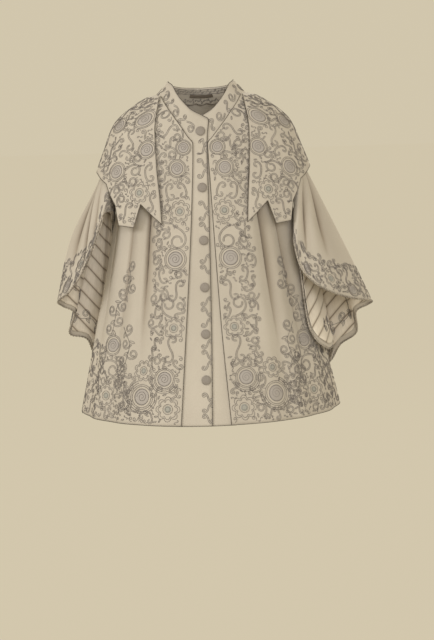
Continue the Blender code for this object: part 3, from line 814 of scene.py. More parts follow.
def crease_shape(creases, turn, share):
    """How far the creases draw a sleeve in, and how much they are in shade."""
    depth_in = np.zeros(np.broadcast(turn, share).shape)
    shade = np.zeros(depth_in.shape)
    for hem_turn, top_turn, half, depth, start, end in zip(*creases.columns.values()):
        centre = top_turn + (hem_turn - top_turn) * share
        away = (turn - centre + 0.5) % 1.0 - 0.5
        shown = np.sin(np.pi * np.clip((share - start) / (end - start), 0.0, 1.0))
        line = shown * np.exp(-(away / CREASE_LINE_TURN) ** 2)
        valley = shown * np.exp(-(away / half) ** 2)
        depth_in += depth * valley + CREASE_LINE * (depth / CREASE_FULL) * line
        shade += (depth / CREASE_FULL) * (CREASE_LINE_SHADE * line + CREASE_VALLEY_SHADE * valley)
    return depth_in, shade


def sleeve_grid(lines, creases):
    turn = np.arange(SLEEVE_TURNS) / SLEEVE_TURNS
    around = 2 * np.pi * turn
    middle_drop = 0.5 * (ARMHOLE_TOP + ARMHOLE_BOTTOM)
    head_drop = middle_drop + (ARMHOLE_BOTTOM - middle_drop) * np.cos(around)
    head_angle = np.pi / 2 - (ARMHOLE_ANGLE + ARMHOLE_LAP) * np.sin(around)
    head = lifted(BODY, head_angle, head_drop, HEAD_LIFT)
    middle = line_points(lines, "mid", turn)
    hem = line_points(lines, "hem", turn)
    outward = 0.5 * (middle + hem) - np.mean(0.5 * (middle + hem), axis=0)
    outward[:, 2] = 0.0
    outward /= np.linalg.norm(outward, axis=-1, keepdims=True)
    knee = 0.5 * (middle + hem) + outward * lines.around("billow", turn)[:, None]
    stops = np.stack([head, middle, knee, hem])
    grid = hermite(SLEEVE_STEPS, LINE_STOPS, stops, monotone_tangents(LINE_STOPS, stops))
    depth, shade = crease_shape(creases, turn[None, :], SLEEVE_STEPS[:, None])
    return grid - grid_normals(grid, True) * depth[..., None], shade


TUCK_PITCH = 0.026             # between the lining's cross tucks
TUCK_DEPTH = 0.0022
TUCK_SLANT = math.radians(52)  # tucks slope down towards the body


def tuck_phase(grid):
    """Share of the way from one tuck of the lining to the next."""
    out = np.abs(grid[..., 0])
    level = -grid[..., 2] * math.cos(TUCK_SLANT) + out * math.sin(TUCK_SLANT)
    return (level / TUCK_PITCH) % 1.0


def lining_grid(sleeve):
    """A sleeve's lining: the sleeve's own points, moved in, short of its hem, and puffed between tucks."""
    inset = 0.5 * (CLOTH + LINING_CLOTH) + LINING_GAP
    grid = sleeve - grid_normals(sleeve, True) * inset
    rows = np.linspace(LINING_START, (len(SLEEVE_STEPS) - 1) * LINING_HEM_SHARE, len(SLEEVE_STEPS))
    above = np.minimum(rows.astype(int), len(SLEEVE_STEPS) - 2)
    share = (rows - above)[:, None, None]
    grid = grid[above] * (1 - share) + grid[above + 1] * share
    phase = tuck_phase(grid)
    puff = TUCK_DEPTH * np.sqrt(np.sin(np.pi * phase))
    return grid - grid_normals(grid, True) * puff[..., None]


# Finishes

WHITE = (1.0, 1.0, 1.0)
NAP_FLECKS = ((0.30, (0.86, 0.85, 0.84)), (0.70, WHITE))
FOLD_SHADES = ((0.0, WHITE), (0.5, (0.68, 0.64, 0.60)), (1.0, (0.22, 0.19, 0.17)))
TUCK_SHADES = ((0.02, (0.34, 0.31, 0.28)), (0.09, (0.86, 0.84, 0.82)), (0.25, WHITE))
WOOL_SHEEN = (1.0, 0.95, 0.88, 1.0)
TWILL_PERIOD = 0.0016
TWILL_ANGLE = math.radians(35)


def new_finish(name, roughness, sheen=0.0):
    """A Principled material with its shader and its tree, to add nodes to."""
    material = bpy.data.materials.new(name)
    material.use_nodes = True
    shader = material.node_tree.nodes["Principled BSDF"]
    shader.inputs["Roughness"].default_value = roughness
    shader.inputs["Metallic"].default_value = 0.0
    shader.inputs["Specular IOR Level"].default_value = 0.25
    shader.inputs["Sheen Weight"].default_value = sheen
    shader.inputs["Sheen Roughness"].default_value = 0.55
    return material, shader, material.node_tree


def noise_node(tree, coordinates, scale, detail, stretch=(1.0, 1.0, 1.0)):
    mapping = tree.nodes.new("ShaderNodeMapping")
    mapping.inputs["Scale"].default_value = stretch
    tree.links.new(coordinates, mapping.inputs["Vector"])
    noise = tree.nodes.new("ShaderNodeTexNoise")
    noise.inputs["Scale"].default_value = scale
    noise.inputs["Detail"].default_value = detail
    tree.links.new(mapping.outputs["Vector"], noise.inputs["Vector"])
    return noise.outputs["Fac"]


def ramp_node(tree, value, stops):
    """Colours picked by a value, with named stops of position and colour."""
    ramp = tree.nodes.new("ShaderNodeValToRGB")
    elements = ramp.color_ramp.elements
    while len(elements) < len(stops):
        elements.new(0.5)
    for element, (position, colour) in zip(elements, stops):
        element.position = position
        element.color = (*colour, 1.0)
    tree.links.new(value, ramp.inputs["Fac"])
    return ramp.outputs["Color"]


def mix_node(tree, share, first, second, kind="MIX"):
    mix = tree.nodes.new("ShaderNodeMix")
    mix.data_type = "RGBA"
    mix.blend_type = kind
    if isinstance(share, float):
        mix.inputs["Factor"].default_value = share
    else:
        tree.links.new(share, mix.inputs["Factor"])
    tree.links.new(first, mix.inputs["A"])
    tree.links.new(second, mix.inputs["B"])
    return mix.outputs["Result"]


def bump_node(tree, shader, height, strength, distance):
    bump = tree.nodes.new("ShaderNodeBump")
    bump.inputs["Strength"].default_value = strength
    bump.inputs["Distance"].default_value = distance
    tree.links.new(height, bump.inputs["Height"])
    tree.links.new(bump.outputs["Normal"], shader.inputs["Normal"])


def twill(tree, coordinates, period, angle):
    """Diagonal ribs of a weave, a rib every period."""
    mapping = tree.nodes.new("ShaderNodeMapping")
    mapping.inputs["Rotation"].default_value = (0.0, 0.0, angle)
    tree.links.new(coordinates, mapping.inputs["Vector"])
    wave = tree.nodes.new("ShaderNodeTexWave")
    wave.wave_type = "BANDS"
    wave.bands_direction = "X"
    wave.inputs["Scale"].default_value = math.pi / (10.0 * period)
    wave.inputs["Distortion"].default_value = 1.2
    wave.inputs["Detail"].default_value = 2.0
    wave.inputs["Detail Scale"].default_value = 1.5
    tree.links.new(mapping.outputs["Vector"], wave.inputs["Vector"])
    return wave.outputs["Fac"]


def wool_finish(name, light, dark):
    """Felted wool: soft cloudy tone, a faint twill and a fine nap, darker where a fold holds shade."""
    material, shader, tree = new_finish(name, roughness=0.92, sheen=0.30)
    shader.inputs["Sheen Tint"].default_value = WOOL_SHEEN
    place = tree.nodes.new("ShaderNodeTexCoord")
    clouds = noise_node(tree, place.outputs["Object"], scale=11.0, detail=4.0, stretch=(1.0, 1.0, 0.45))
    tone = ramp_node(tree, clouds, ((0.30, dark), (0.70, light)))
    nap = noise_node(tree, place.outputs["Object"], scale=1500.0, detail=2.0)
    flecks = ramp_node(tree, nap, NAP_FLECKS)
    fold = tree.nodes.new("ShaderNodeAttribute")
    fold.attribute_name = "shade"
    shadow = ramp_node(tree, fold.outputs["Fac"], FOLD_SHADES)
    napped = mix_node(tree, 1.0, tone, flecks, "MULTIPLY")
    tree.links.new(mix_node(tree, 1.0, napped, shadow, "MULTIPLY"), shader.inputs["Base Color"])
    ribs = twill(tree, place.outputs["UV"], TWILL_PERIOD, TWILL_ANGLE)
    surface = mix_node(tree, 0.55, ribs, nap)
    bump_node(tree, shader, surface, strength=0.35, distance=0.0004)
    return material


def math_node(tree, operation, first, second):
    """A sum on two values, each a number or another node's output."""
    node = tree.nodes.new("ShaderNodeMath")
    node.operation = operation
    for socket, value in zip(node.inputs, (first, second)):
        if isinstance(value, float):
            socket.default_value = value
        else:
            tree.links.new(value, socket)
    return node.outputs["Value"]


def tuck_node(tree, coordinates):
    """Distance from the nearest tuck of the lining, from 0 on it to a half between two."""
    split = tree.nodes.new("ShaderNodeSeparateXYZ")
    tree.links.new(coordinates, split.inputs["Vector"])
    out = math_node(tree, "MULTIPLY", split.outputs["X"], split.outputs["X"])
    out = math_node(tree, "POWER", out, 0.5)
    slanted = math_node(tree, "MULTIPLY", out, math.sin(TUCK_SLANT) / TUCK_PITCH)
    level = math_node(tree, "MULTIPLY", split.outputs["Z"], -math.cos(TUCK_SLANT) / TUCK_PITCH)
    return math_node(tree, "PINGPONG", math_node(tree, "ADD", slanted, level), 0.5)


def silk_finish(name, light, dark):
    """Soft silk with lengthwise slubs, darker in the shadow of each tuck."""
    material, shader, tree = new_finish(name, roughness=0.55, sheen=0.15)
    place = tree.nodes.new("ShaderNodeTexCoord")
    slubs = noise_node(tree, place.outputs["UV"], scale=60.0, detail=4.0, stretch=(6.0, 1.0, 1.0))
    tone = ramp_node(tree, slubs, ((0.30, dark), (0.72, light)))
    shadow = ramp_node(tree, tuck_node(tree, place.outputs["Object"]), TUCK_SHADES)
    tree.links.new(mix_node(tree, 1.0, tone, shadow, "MULTIPLY"), shader.inputs["Base Color"])
    bump_node(tree, shader, slubs, strength=0.2, distance=0.0003)
    return material


def cord_finish(name, light, dark, grain=900.0):
    """Tightly plaited cord: small light and dark strands."""
    material, shader, tree = new_finish(name, roughness=0.8, sheen=0.10)
    place = tree.nodes.new("ShaderNodeTexCoord")
    strands = noise_node(tree, place.outputs["Object"], scale=grain, detail=2.0)
    drift = noise_node(tree, place.outputs["Object"], scale=25.0, detail=2.0)
    value = mix_node(tree, 0.45, strands, drift)
    tree.links.new(ramp_node(tree, value, ((0.36, dark), (0.62, light))), shader.inputs["Base Color"])
    bump_node(tree, shader, strands, strength=0.4, distance=0.0004)
    return material


def satin_finish(name, light, dark):
    """Satin stitch: threads that run out from the middle of a padded disc."""
    material, shader, tree = new_finish(name, roughness=0.50, sheen=0.10)
    place = tree.nodes.new("ShaderNodeTexCoord")
    threads = noise_node(tree, place.outputs["UV"], scale=40.0, detail=2.0, stretch=(6.0, 0.25, 1.0))
    tree.links.new(ramp_node(tree, threads, ((0.32, dark), (0.68, light))), shader.inputs["Base Color"])
    bump_node(tree, shader, threads, strength=0.5, distance=0.0004)
    return material


WOOL = wool_finish("cream_wool_cloth", (0.590, 0.550, 0.490), (0.520, 0.482, 0.428))
# Painted light: the lining's silk is given a paler colour than its own, standing in for the light that does
# not reach inside the sleeve
SILK = silk_finish("tucked_silk", (0.840, 0.780, 0.700), (0.740, 0.685, 0.610))
BRAID = cord_finish("soutache_braid", (0.270, 0.246, 0.235), (0.160, 0.144, 0.136))
PIPING = cord_finish("edge_piping", (0.130, 0.112, 0.094), (0.080, 0.067, 0.055))
ROPE = cord_finish("hem_rope", (0.520, 0.472, 0.410), (0.150, 0.130, 0.110), grain=300.0)
SATIN_LILAC = satin_finish("satin_lilac_grey", (0.440, 0.410, 0.390), (0.360, 0.334, 0.318))
SATIN_GREEN = satin_finish("satin_green_grey", (0.400, 0.402, 0.372), (0.310, 0.312, 0.288))
BUTTON_COVER = satin_finish("button_cover", (0.330, 0.300, 0.275), (0.215, 0.193, 0.175))
LOOP_WEAVE = cord_finish("loop_tape_weave", (0.200, 0.170, 0.140), (0.120, 0.100, 0.080))


# Meshes

def show(name, mesh, slot, *nodes):
    """Put a finished mesh in the scene, riding on the cloak, in place of its solids; the slot it is given is
    not used.
    """
    piece = bpy.data.objects.new(name, mesh)
    bpy.context.scene.collection.objects.link(piece)
    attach(piece, "root")
    if nodes:
        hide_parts(*nodes)
    return piece


def grid_mesh(name, grid, finish, closed=False, shade=None):
    """Quads of a grid, smooth, with a UV map in metres of cloth and, where given, the shade at each point."""
    rows, columns = grid.shape[:2]
    wide = columns if closed else columns - 1
    i, j = np.meshgrid(np.arange(rows - 1), np.arange(wide), indexing="ij")
    k = (j + 1) % columns
    above = i * columns
    below = above + columns
    quads = np.stack([above + j, below + j, below + k, above + k], axis=-1)
    mesh = bpy.data.meshes.new(name)
    mesh.from_pydata(grid.reshape(-1, 3).tolist(), [], quads.reshape(-1, 4).tolist())
    across = np.linalg.norm(np.diff(grid, axis=1, append=grid[:, :1]), axis=-1).mean(axis=0)
    down = np.linalg.norm(np.diff(grid, axis=0), axis=-1).mean(axis=1)
    u = np.concatenate([[0.0], np.cumsum(across)])
    v = np.concatenate([[0.0], np.cumsum(down)])
    corner_u = np.stack([u[j], u[j], u[j + 1], u[j + 1]], axis=-1)
    corner_v = -np.stack([v[i], v[i + 1], v[i + 1], v[i]], axis=-1)
    layer = mesh.uv_layers.new(name="cloth")
    layer.data.foreach_set("uv", np.stack([corner_u, corner_v], axis=-1).ravel())
    if shade is not None:
        attribute = mesh.attributes.new("shade", "FLOAT", "POINT")
        attribute.data.foreach_set("value", shade.ravel())
    mesh.shade_smooth()
    mesh.materials.append(finish)
    return mesh


def cloth_piece(name, grid, thickness, finish, slot, node, closed=False, shade=None):
    """A wall of cloth in place of its solid, half its thickness on each side of the grid."""
    piece = show(name, grid_mesh(name, grid, finish, closed, shade), slot, node)
    wall = piece.modifiers.new("wall", "SOLIDIFY")
    wall.thickness = thickness
    wall.offset = 0.0
    return piece


def wool_piece(node, grid, closed=False, shade=None):
    """A wool panel in place of its solid."""
    return cloth_piece(node + "_cloth", grid, CLOTH, WOOL, "cream_wool", node, closed, shade)


def set_threads(mesh, uv):
    """Give every corner of a mesh the UV of its point, so that threads follow the surface."""
    layer = mesh.uv_layers.new(name="threads")
    loops = np.zeros(len(mesh.loops), dtype=int)
    mesh.loops.foreach_get("vertex_index", loops)
    layer.data.foreach_set("uv", uv[loops].ravel())


# Geometry node trees

def new_tree(name, inputs):
    """An empty tree with a geometry in and out and named inputs; also gives the inputs' identifiers."""
    tree = bpy.data.node_groups.new(name, "GeometryNodeTree")
    tree.interface.new_socket("Geometry", in_out="INPUT", socket_type="NodeSocketGeometry")
    identifiers = {}
    for label, kind in inputs:
        identifiers[label] = tree.interface.new_socket(label, in_out="INPUT", socket_type=kind).identifier
    tree.interface.new_socket("Geometry", in_out="OUTPUT", socket_type="NodeSocketGeometry")
    return tree, identifiers


def chain(tree, *nodes):
    """Link each node's first output to the next node's first input."""
    for before, after in zip(nodes, nodes[1:]):
        tree.links.new(before.outputs[0], after.inputs[0])


ROPE_HOLLOW = 0.55             # a rope's valleys between its strands, as a share of its radius


def sweep_along(tree, start, curve, profile):
    """End a tree with a profile swept along its curves: a smooth plain mesh with its finish."""
    tube = tree.nodes.new("GeometryNodeCurveToMesh")
    tube.inputs["Fill Caps"].default_value = True
    smooth = tree.nodes.new("GeometryNodeSetShadeSmooth")
    realize = tree.nodes.new("GeometryNodeRealizeInstances")
    finish = tree.nodes.new("GeometryNodeSetMaterial")
    end = tree.nodes.new("NodeGroupOutput")
    chain(tree, curve, tube, smooth, realize, finish, end)
    tree.links.new(profile.outputs["Curve"], tube.inputs["Profile Curve"])
    tree.links.new(start.outputs["Finish"], finish.inputs["Material"])


def cord_tree():
    """Round cord along every path."""
    tree, names = new_tree("cord_along_paths", (
        ("Radius", "NodeSocketFloat"),
        ("Sides", "NodeSocketInt"),
        ("Finish", "NodeSocketMaterial"),
    ))
    start = tree.nodes.new("NodeGroupInput")
    curve = tree.nodes.new("GeometryNodeMeshToCurve")
    circle = tree.nodes.new("GeometryNodeCurvePrimitiveCircle")
    chain(tree, start, curve)
    tree.links.new(start.outputs["Radius"], circle.inputs["Radius"])
    tree.links.new(start.outputs["Sides"], circle.inputs["Resolution"])
    sweep_along(tree, start, curve, circle)
    return tree, names


def rope_tree():
    """Twisted rope along every path: a lobed section that turns as it goes."""
    tree, names = new_tree("rope_along_paths", (
        ("Radius", "NodeSocketFloat"),
        ("Strands", "NodeSocketInt"),
        ("Twist", "NodeSocketFloat"),
        ("Finish", "NodeSocketMaterial"),
    ))
    start = tree.nodes.new("NodeGroupInput")
    curve = tree.nodes.new("GeometryNodeMeshToCurve")
    tilt = tree.nodes.new("GeometryNodeSetCurveTilt")
    length = tree.nodes.new("GeometryNodeSplineParameter")
    turn = tree.nodes.new("ShaderNodeMath")
    turn.operation = "MULTIPLY"
    hollow = tree.nodes.new("ShaderNodeMath")
    hollow.operation = "MULTIPLY"
    hollow.inputs[1].default_value = ROPE_HOLLOW
    star = tree.nodes.new("GeometryNodeCurveStar")
    chain(tree, start, curve, tilt)
    tree.links.new(length.outputs["Length"], turn.inputs[0])
    tree.links.new(start.outputs["Twist"], turn.inputs[1])
    tree.links.new(turn.outputs[0], tilt.inputs["Tilt"])
    tree.links.new(start.outputs["Radius"], star.inputs["Outer Radius"])
    tree.links.new(start.outputs["Radius"], hollow.inputs[0])
    tree.links.new(hollow.outputs[0], star.inputs["Inner Radius"])
    tree.links.new(start.outputs["Strands"], star.inputs["Points"])
    sweep_along(tree, start, tilt, star)
    return tree, names


def button_tree():
    """A button on every point, facing the way the point's cloth faces."""
    tree, names = new_tree("buttons_on_points", (
        ("Button", "NodeSocketObject"),
        ("Finish", "NodeSocketMaterial"),
    ))
    start = tree.nodes.new("NodeGroupInput")
    source = tree.nodes.new("GeometryNodeObjectInfo")
    facing = tree.nodes.new("GeometryNodeInputNamedAttribute")
    facing.data_type = "FLOAT_VECTOR"
    facing.inputs["Name"].default_value = "facing"
    align = tree.nodes.new("FunctionNodeAlignRotationToVector")
    align.axis = "Z"
    copies = tree.nodes.new("GeometryNodeInstanceOnPoints")
    realize = tree.nodes.new("GeometryNodeRealizeInstances")
    finish = tree.nodes.new("GeometryNodeSetMaterial")
    end = tree.nodes.new("NodeGroupOutput")
    chain(tree, start, copies, realize, finish, end)
    tree.links.new(start.outputs["Button"], source.inputs["Object"])
    tree.links.new(source.outputs["Geometry"], copies.inputs["Instance"])
    tree.links.new(facing.outputs["Attribute"], align.inputs["Vector"])
    tree.links.new(align.outputs["Rotation"], copies.inputs["Rotation"])
    tree.links.new(start.outputs["Finish"], finish.inputs["Material"])
    return tree, names


def grown(mesh, tree_and_names, values):
    """The plain mesh that a tree makes from a mesh with these inputs."""
    tree, names = tree_and_names
    carrier = bpy.data.objects.new("carrier", mesh)
    bpy.context.scene.collection.objects.link(carrier)
    modifier = carrier.modifiers.new("tree", "NODES")
    modifier.node_group = tree
    for label, value in values.items():
        modifier[names[label]] = value
    depsgraph = bpy.context.evaluated_depsgraph_get()
    result = bpy.data.meshes.new_from_object(carrier.evaluated_get(depsgraph), depsgraph=depsgraph)
    bpy.data.objects.remove(carrier)
    bpy.data.meshes.remove(mesh)
    return result


def paths_mesh(name, paths, step):
    """Edges along paths of points, evenly spaced."""
    points = []
    edges = []
    for path in paths:
        run = run_along(path)
        count = max(3, int(math.ceil(run[-1] / step)) + 1)
        stops = np.linspace(0.0, run[-1], count)
        first = len(points)
        even = np.stack([np.interp(stops, run, path[:, axis]) for axis in range(3)], axis=-1)
        points.extend(even.tolist())
        edges.extend((first + k, first + k + 1) for k in range(count - 1))
    mesh = bpy.data.meshes.new(name)
    mesh.from_pydata(points, edges, [])
    return mesh


CORD = cord_tree()
TWISTED = rope_tree()
BUTTONS = button_tree()

BRAID_RADIUS = 0.00070
BRAID_STEP = 0.0022
BRAID_SIDES = 3


def braid_piece(name, paths, radius=BRAID_RADIUS, finish=BRAID):
    """All the cord of one panel, sewn down along its paths."""
    values = {"Radius": radius, "Sides": BRAID_SIDES, "Finish": finish}
    mesh = grown(paths_mesh(name, paths, BRAID_STEP), CORD, values)
    mesh.name = name
    return show(name, mesh, "grey_braid")


# Padded discs of satin stitch

DISC_RINGS = 3
DISC_SECTORS = 28
DISC_HEIGHT = 0.0008
DISC_SINK = 0.0003             # how far a disc's rim lies in the nap
DISC_FOOT = 0.0006             # how far in its closed underside goes


def disc(ground, place, radius):
    """Points, faces and UVs of a low dome on the cloth."""
    a, b = place[:2]
    rate_a, rate_b = rates(ground, a, b)
    share = np.linspace(0.0, 1.0, DISC_RINGS + 1)[1:, None]
    turn = 2 * np.pi * np.arange(DISC_SECTORS)[None, :] / DISC_SECTORS
    x = radius * share * np.cos(turn)
    y = radius * share * np.sin(turn)
    height = DISC_HEIGHT * np.sqrt(1.0 - share ** 4) - DISC_SINK + 0.0 * turn
    rim = ground.at(a + x / rate_a, b - y / rate_b, height).reshape(-1, 3)
    crown = ground.at(np.array([a]), np.array([b]), DISC_HEIGHT - DISC_SINK)
    foot = ground.at(np.array([a]), np.array([b]), -DISC_FOOT)
    points = np.concatenate([crown, rim, foot])
    faces = []
    for k in range(DISC_SECTORS):
        n = (k + 1) % DISC_SECTORS
        faces.append((0, 1 + k, 1 + n))
        for r in range(DISC_RINGS - 1):
            low = 1 + r * DISC_SECTORS
            high = low + DISC_SECTORS
            faces.append((low + k, high + k, high + n, low + n))
        last = 1 + (DISC_RINGS - 1) * DISC_SECTORS
        faces.append((last + k, len(points) - 1, last + n))
    spin = np.concatenate([[0.0], np.tile(turn[0] / (2 * np.pi), DISC_RINGS), [0.0]])
    out = np.concatenate([[0.0], np.repeat(share[:, 0], DISC_SECTORS), [1.0]])
    return points, faces, np.stack([spin, out], axis=-1)


def disc_piece(name, ground, spots, finish):
    """All the satin discs of one colour on one panel, each turned to face out."""
    points = []
    faces = []
    uv = []
    for place, radius in spots:
        new_points, new_faces, new_uv = disc(ground, place, radius)
        crown, foot = new_points[0], new_points[-1]
        facing = np.cross(new_points[1] - crown, new_points[2] - crown)
        if np.dot(facing, crown - foot) < 0.0:
            new_faces = [face[::-1] for face in new_faces]
        first = len(points)
        points.extend(new_points.tolist())
        faces.extend(tuple(first + k for k in face) for face in new_faces)
        uv.extend(new_uv.tolist())
    mesh = bpy.data.meshes.new(name)
    mesh.from_pydata(points, [], faces)
    set_threads(mesh, np.array(uv))
    mesh.shade_smooth()
    mesh.materials.append(finish)
    return show(name, mesh, "grey_braid")


# Braid designs: each row is a motif, its distance from the centre, its drop, its radius and its turn in
# degrees. The same rows serve both sides; on the left front they follow its own edge.

FRONT_MOTIFS = (
    ("curl", 0.092, 0.084, 0.016, 60.0),
    ("s_scroll", 0.080, 0.118, 0.020, 115.0),
    ("rosette", 0.045, 0.158, 0.019, 0.0),
    ("rosette", 0.061, 0.207, 0.022, 0.0),
    ("c_scroll", 0.080, 0.262, 0.019, 80.0),
    ("c_scroll", 0.050, 0.258, 0.017, 250.0),
    ("daisy", 0.058, 0.308, 0.027, 11.0),
    ("curl", 0.065, 0.371, 0.023, 200.0),
    ("rosette", 0.072, 0.421, 0.027, 0.0),
    ("c_scroll", 0.104, 0.462, 0.017, 70.0),
    ("s_scroll", 0.072, 0.496, 0.022, 80.0),
    ("curl", 0.092, 0.535, 0.020, 20.0),
    ("daisy", 0.081, 0.584, 0.026, 0.0),
    ("s_scroll", 0.090, 0.634, 0.026, 60.0),
    ("rosette", 0.234, 0.632, 0.025, 0.0),
    ("curl", 0.240, 0.686, 0.021, 160.0),
    ("daisy", 0.158, 0.686, 0.026, 20.0),
    ("rosette", 0.107, 0.704, 0.026, 0.0),
    ("rosette", 0.164, 0.748, 0.030, 0.0),
    ("daisy", 0.256, 0.754, 0.028, 5.0),
    ("daisy", 0.101, 0.775, 0.030, 0.0),
)

CAPE_MOTIFS = (
    ("rosette", 0.137, 0.088, 0.026, 0.0),
    ("rosette", 0.134, 0.160, 0.023, 0.0),
    ("rosette", 0.200, 0.102, 0.021, 0.0),
    ("rosette", 0.209, 0.212, 0.024, 0.0),
    ("c_scroll", 0.130, 0.216, 0.020, 75.0),
    ("curl", 0.168, 0.208, 0.016, 130.0),
    ("daisy", 0.155, 0.262, 0.026, 8.0),
    ("s_scroll", 0.172, 0.136, 0.021, 40.0),
    ("c_scroll", 0.186, 0.172, 0.018, 200.0),
    ("s_scroll", 0.126, 0.286, 0.018, 60.0),
    ("s_scroll", 0.190, 0.305, 0.018, 85.0),
)

# Motifs of the unseen back, repeated round it by angle in degrees
BACK_HEM_MOTIFS = (
    ("rosette", 100.0, 0.640, 0.025, 0.0),
    ("daisy", 104.0, 0.752, 0.028, 0.0),
    ("rosette", 121.0, 0.745, 0.029, 0.0),
    ("daisy", 124.0, 0.680, 0.026, 10.0),
    ("rosette", 139.0, 0.706, 0.025, 0.0),
    ("daisy", 142.0, 0.772, 0.028, 0.0),
    ("curl", 155.0, 0.690, 0.022, 120.0),
    ("rosette", 160.0, 0.748, 0.029, 0.0),
    ("daisy", 172.0, 0.690, 0.025, 0.0),
)
CAPE_BACK_MOTIFS = (
    ("rosette", 98.0, 0.180, 0.023, 0.0),
    ("rosette", 112.0, 0.125, 0.023, 0.0),
    ("daisy", 124.0, 0.215, 0.026, 0.0),
    ("rosette", 134.0, 0.150, 0.024, 0.0),
    ("rosette", 148.0, 0.270, 0.025, 0.0),
    ("daisy", 153.0, 0.190, 0.026, 12.0),
    ("rosette", 168.0, 0.125, 0.023, 0.0),
    ("rosette", 171.0, 0.235, 0.025, 0.0),
    ("daisy", 168.0, 0.305, 0.024, 0.0),
)

ROW_GAP = 0.0030               # between the two rows of braid of a scroll
SINGLE_ROW = ("rosette", "daisy", "leaf")
ROSETTE_FILL = 0.80            # satin disc in a rosette, as a share of its radius
DAISY_FILL = 0.34

# Scrolls that fill a panel: kinds, distance between them, half-length, and gap where their braid is double
FILLINGS = (
    (("s_scroll", "c_scroll", "curl", "s_scroll"), 0.0205, 0.0125, ROW_GAP),
    (("curl", "leaf", "s_scroll", "curl"), 0.0105, 0.0050, 0.0),
)
DENSE_ANGLE = math.radians(66)     # the braid is densest in front of this
BACK_SCALE = 1.5               # filling of the sides and the unseen back against that of the front
SLEEVE_SCALE = 0.8
SCROLL_REACH = 1.1             # room that a scroll needs inside its panel, as a share of its half-length
SCROLL_CLEAR = 0.78            # and from the motifs that are there before it
SCROLL_TAKES = 0.75            # and that it takes from those after it
SCROLL_VARY = (0.9, 1.1)
FAR = 9.0                      # farther off than any place on the cloak

# Hem rosettes that arcs sweep round: distance, drop and radius, and where the arcs start and end in degrees
SWEPT_ROSETTES = (
    (0.107, 0.704, 0.026, 70.0, 250.0),
    (0.164, 0.748, 0.030, 20.0, 285.0),
)
SWEEPS = (1.18, 1.34)          # the arcs' radii as shares of the rosette's

# Vines up the side of each front, as distances from the centre and drops
SIDE_VINE = Table("drop distance", (
    (0.430, 0.192),
    (0.470, 0.186),
    (0.505, 0.196),
    (0.545, 0.222),
    (0.580, 0.228),
    (0.606, 0.236),
))
LOWER_VINE = Table("drop distance", (
    (0.585, 0.206),
    (0.625, 0.190),
    (0.665, 0.200),
    (0.700, 0.222),
    (0.735, 0.214),
    (0.770, 0.196),
))
VINE_POINTS = 60
VINE_PITCH = 0.026
VINE_SIZE = 0.012
VINE_CURL_ANGLE = math.radians(62)
VINE_LEAF_ANGLE = math.radians(48)
VINE_LEAF_OUT = 0.8            # a leaf's distance from the stem and its half-length, against a curl's size
VINE_LEAF_SIZE = 0.7


class Design:
    """Braid lines and satin discs on one ground, and the room that they take."""

    def __init__(self, ground):
        self.ground = ground
        self.lines = []
        self.lilac = []
        self.green = []
        self.taken = []

    def lay(self, rows, spot):
        """Motifs of a table; spot turns a row's two sizes into a place."""
        for kind, across, drop, radius, turn in rows:
            place = spot(across, drop)
            gap = 0.0 if kind in SINGLE_ROW else ROW_GAP
            self.lines += laid(self.ground, place, MOTIFS[kind], radius, math.radians(turn), gap=gap)
            self.taken.append((self.ground.at(*place, 0.0), radius))
            if kind == "rosette":
                self.lilac.append((place, ROSETTE_FILL * radius))
            if kind == "daisy":
                self.green.append((place, DAISY_FILL * radius))

    def scatter(self, a, b, inside, kinds, pitch, size, gap, random):
        """Scrolls at places taken in a mixed order, each kept where there is room for it."""
        a, b = roomy(self.ground, a, b, SCROLL_REACH * size, inside)
        points = self.ground.at(a, b, 0.0)
        centres = np.array([centre for centre, _ in self.taken])
        reach = np.array([radius + SCROLL_CLEAR * size for _, radius in self.taken])
        free = np.min(np.linalg.norm(points[:, None] - centres[None], axis=-1) - reach, axis=1) > 0.0
        kept = np.full((1, 3), FAR)
        for k in random.permutation(np.flatnonzero(free)):
            if np.min(np.linalg.norm(kept - points[k], axis=1)) < pitch:
                continue
            kept = np.concatenate([kept, points[k:k + 1]])
            kind = kinds[random.integers(len(kinds))]
            turn = random.uniform(0.0, 2 * math.pi)
            flip = random.choice((-1.0, 1.0))
            vary = random.uniform(*SCROLL_VARY)
            self.lines += laid(self.ground, (a[k], b[k]), MOTIFS[kind], size * vary, turn, flip, gap)
            self.taken.append((points[k], SCROLL_TAKES * size))

    def fill(self, a, b, inside, seed, scale=1.0):
        """Double scrolls among the motifs, then small curls and leaves in what is left."""
        random = np.random.default_rng(seed)
        for kinds, pitch, size, gap in FILLINGS:
            self.scatter(a, b, inside, kinds, pitch * scale, size * scale, gap, random)

    def fill_round(self, angle, drop, inside, front_seed, side_seed):
        """A dense filling in front, and a sparser one round the side and the back."""
        facing = angle < DENSE_ANGLE
        self.fill(angle[facing], drop[facing], inside, front_seed)
        self.fill(angle[~facing], drop[~facing], inside, side_seed, BACK_SCALE)


def roomy(ground, a, b, size, inside):
    """Places from which a scroll of this size stays inside its panel, whichever way it is turned."""
    rate_a, rate_b = rates(ground, a, b)
    keep = np.ones(a.shape, dtype=bool)
    for turn in np.linspace(0.0, 2 * np.pi, 8, endpoint=False):
        keep &= inside(a + size * math.cos(turn) / rate_a, b + size * math.sin(turn) / rate_b)
    return a[keep], b[keep]


def pairs(first, second):
    """All pairs of two runs of coordinates, with the first run fastest."""
    return [values.ravel() for values in np.meshgrid(first, second)]


def candidates(first, second, wanted):
    """All pairs of two runs of coordinates for which the wanted test holds, with the second run fastest."""
    b, a = pairs(second, first)
    keep = wanted(a, b)
    return a[keep], b[keep]


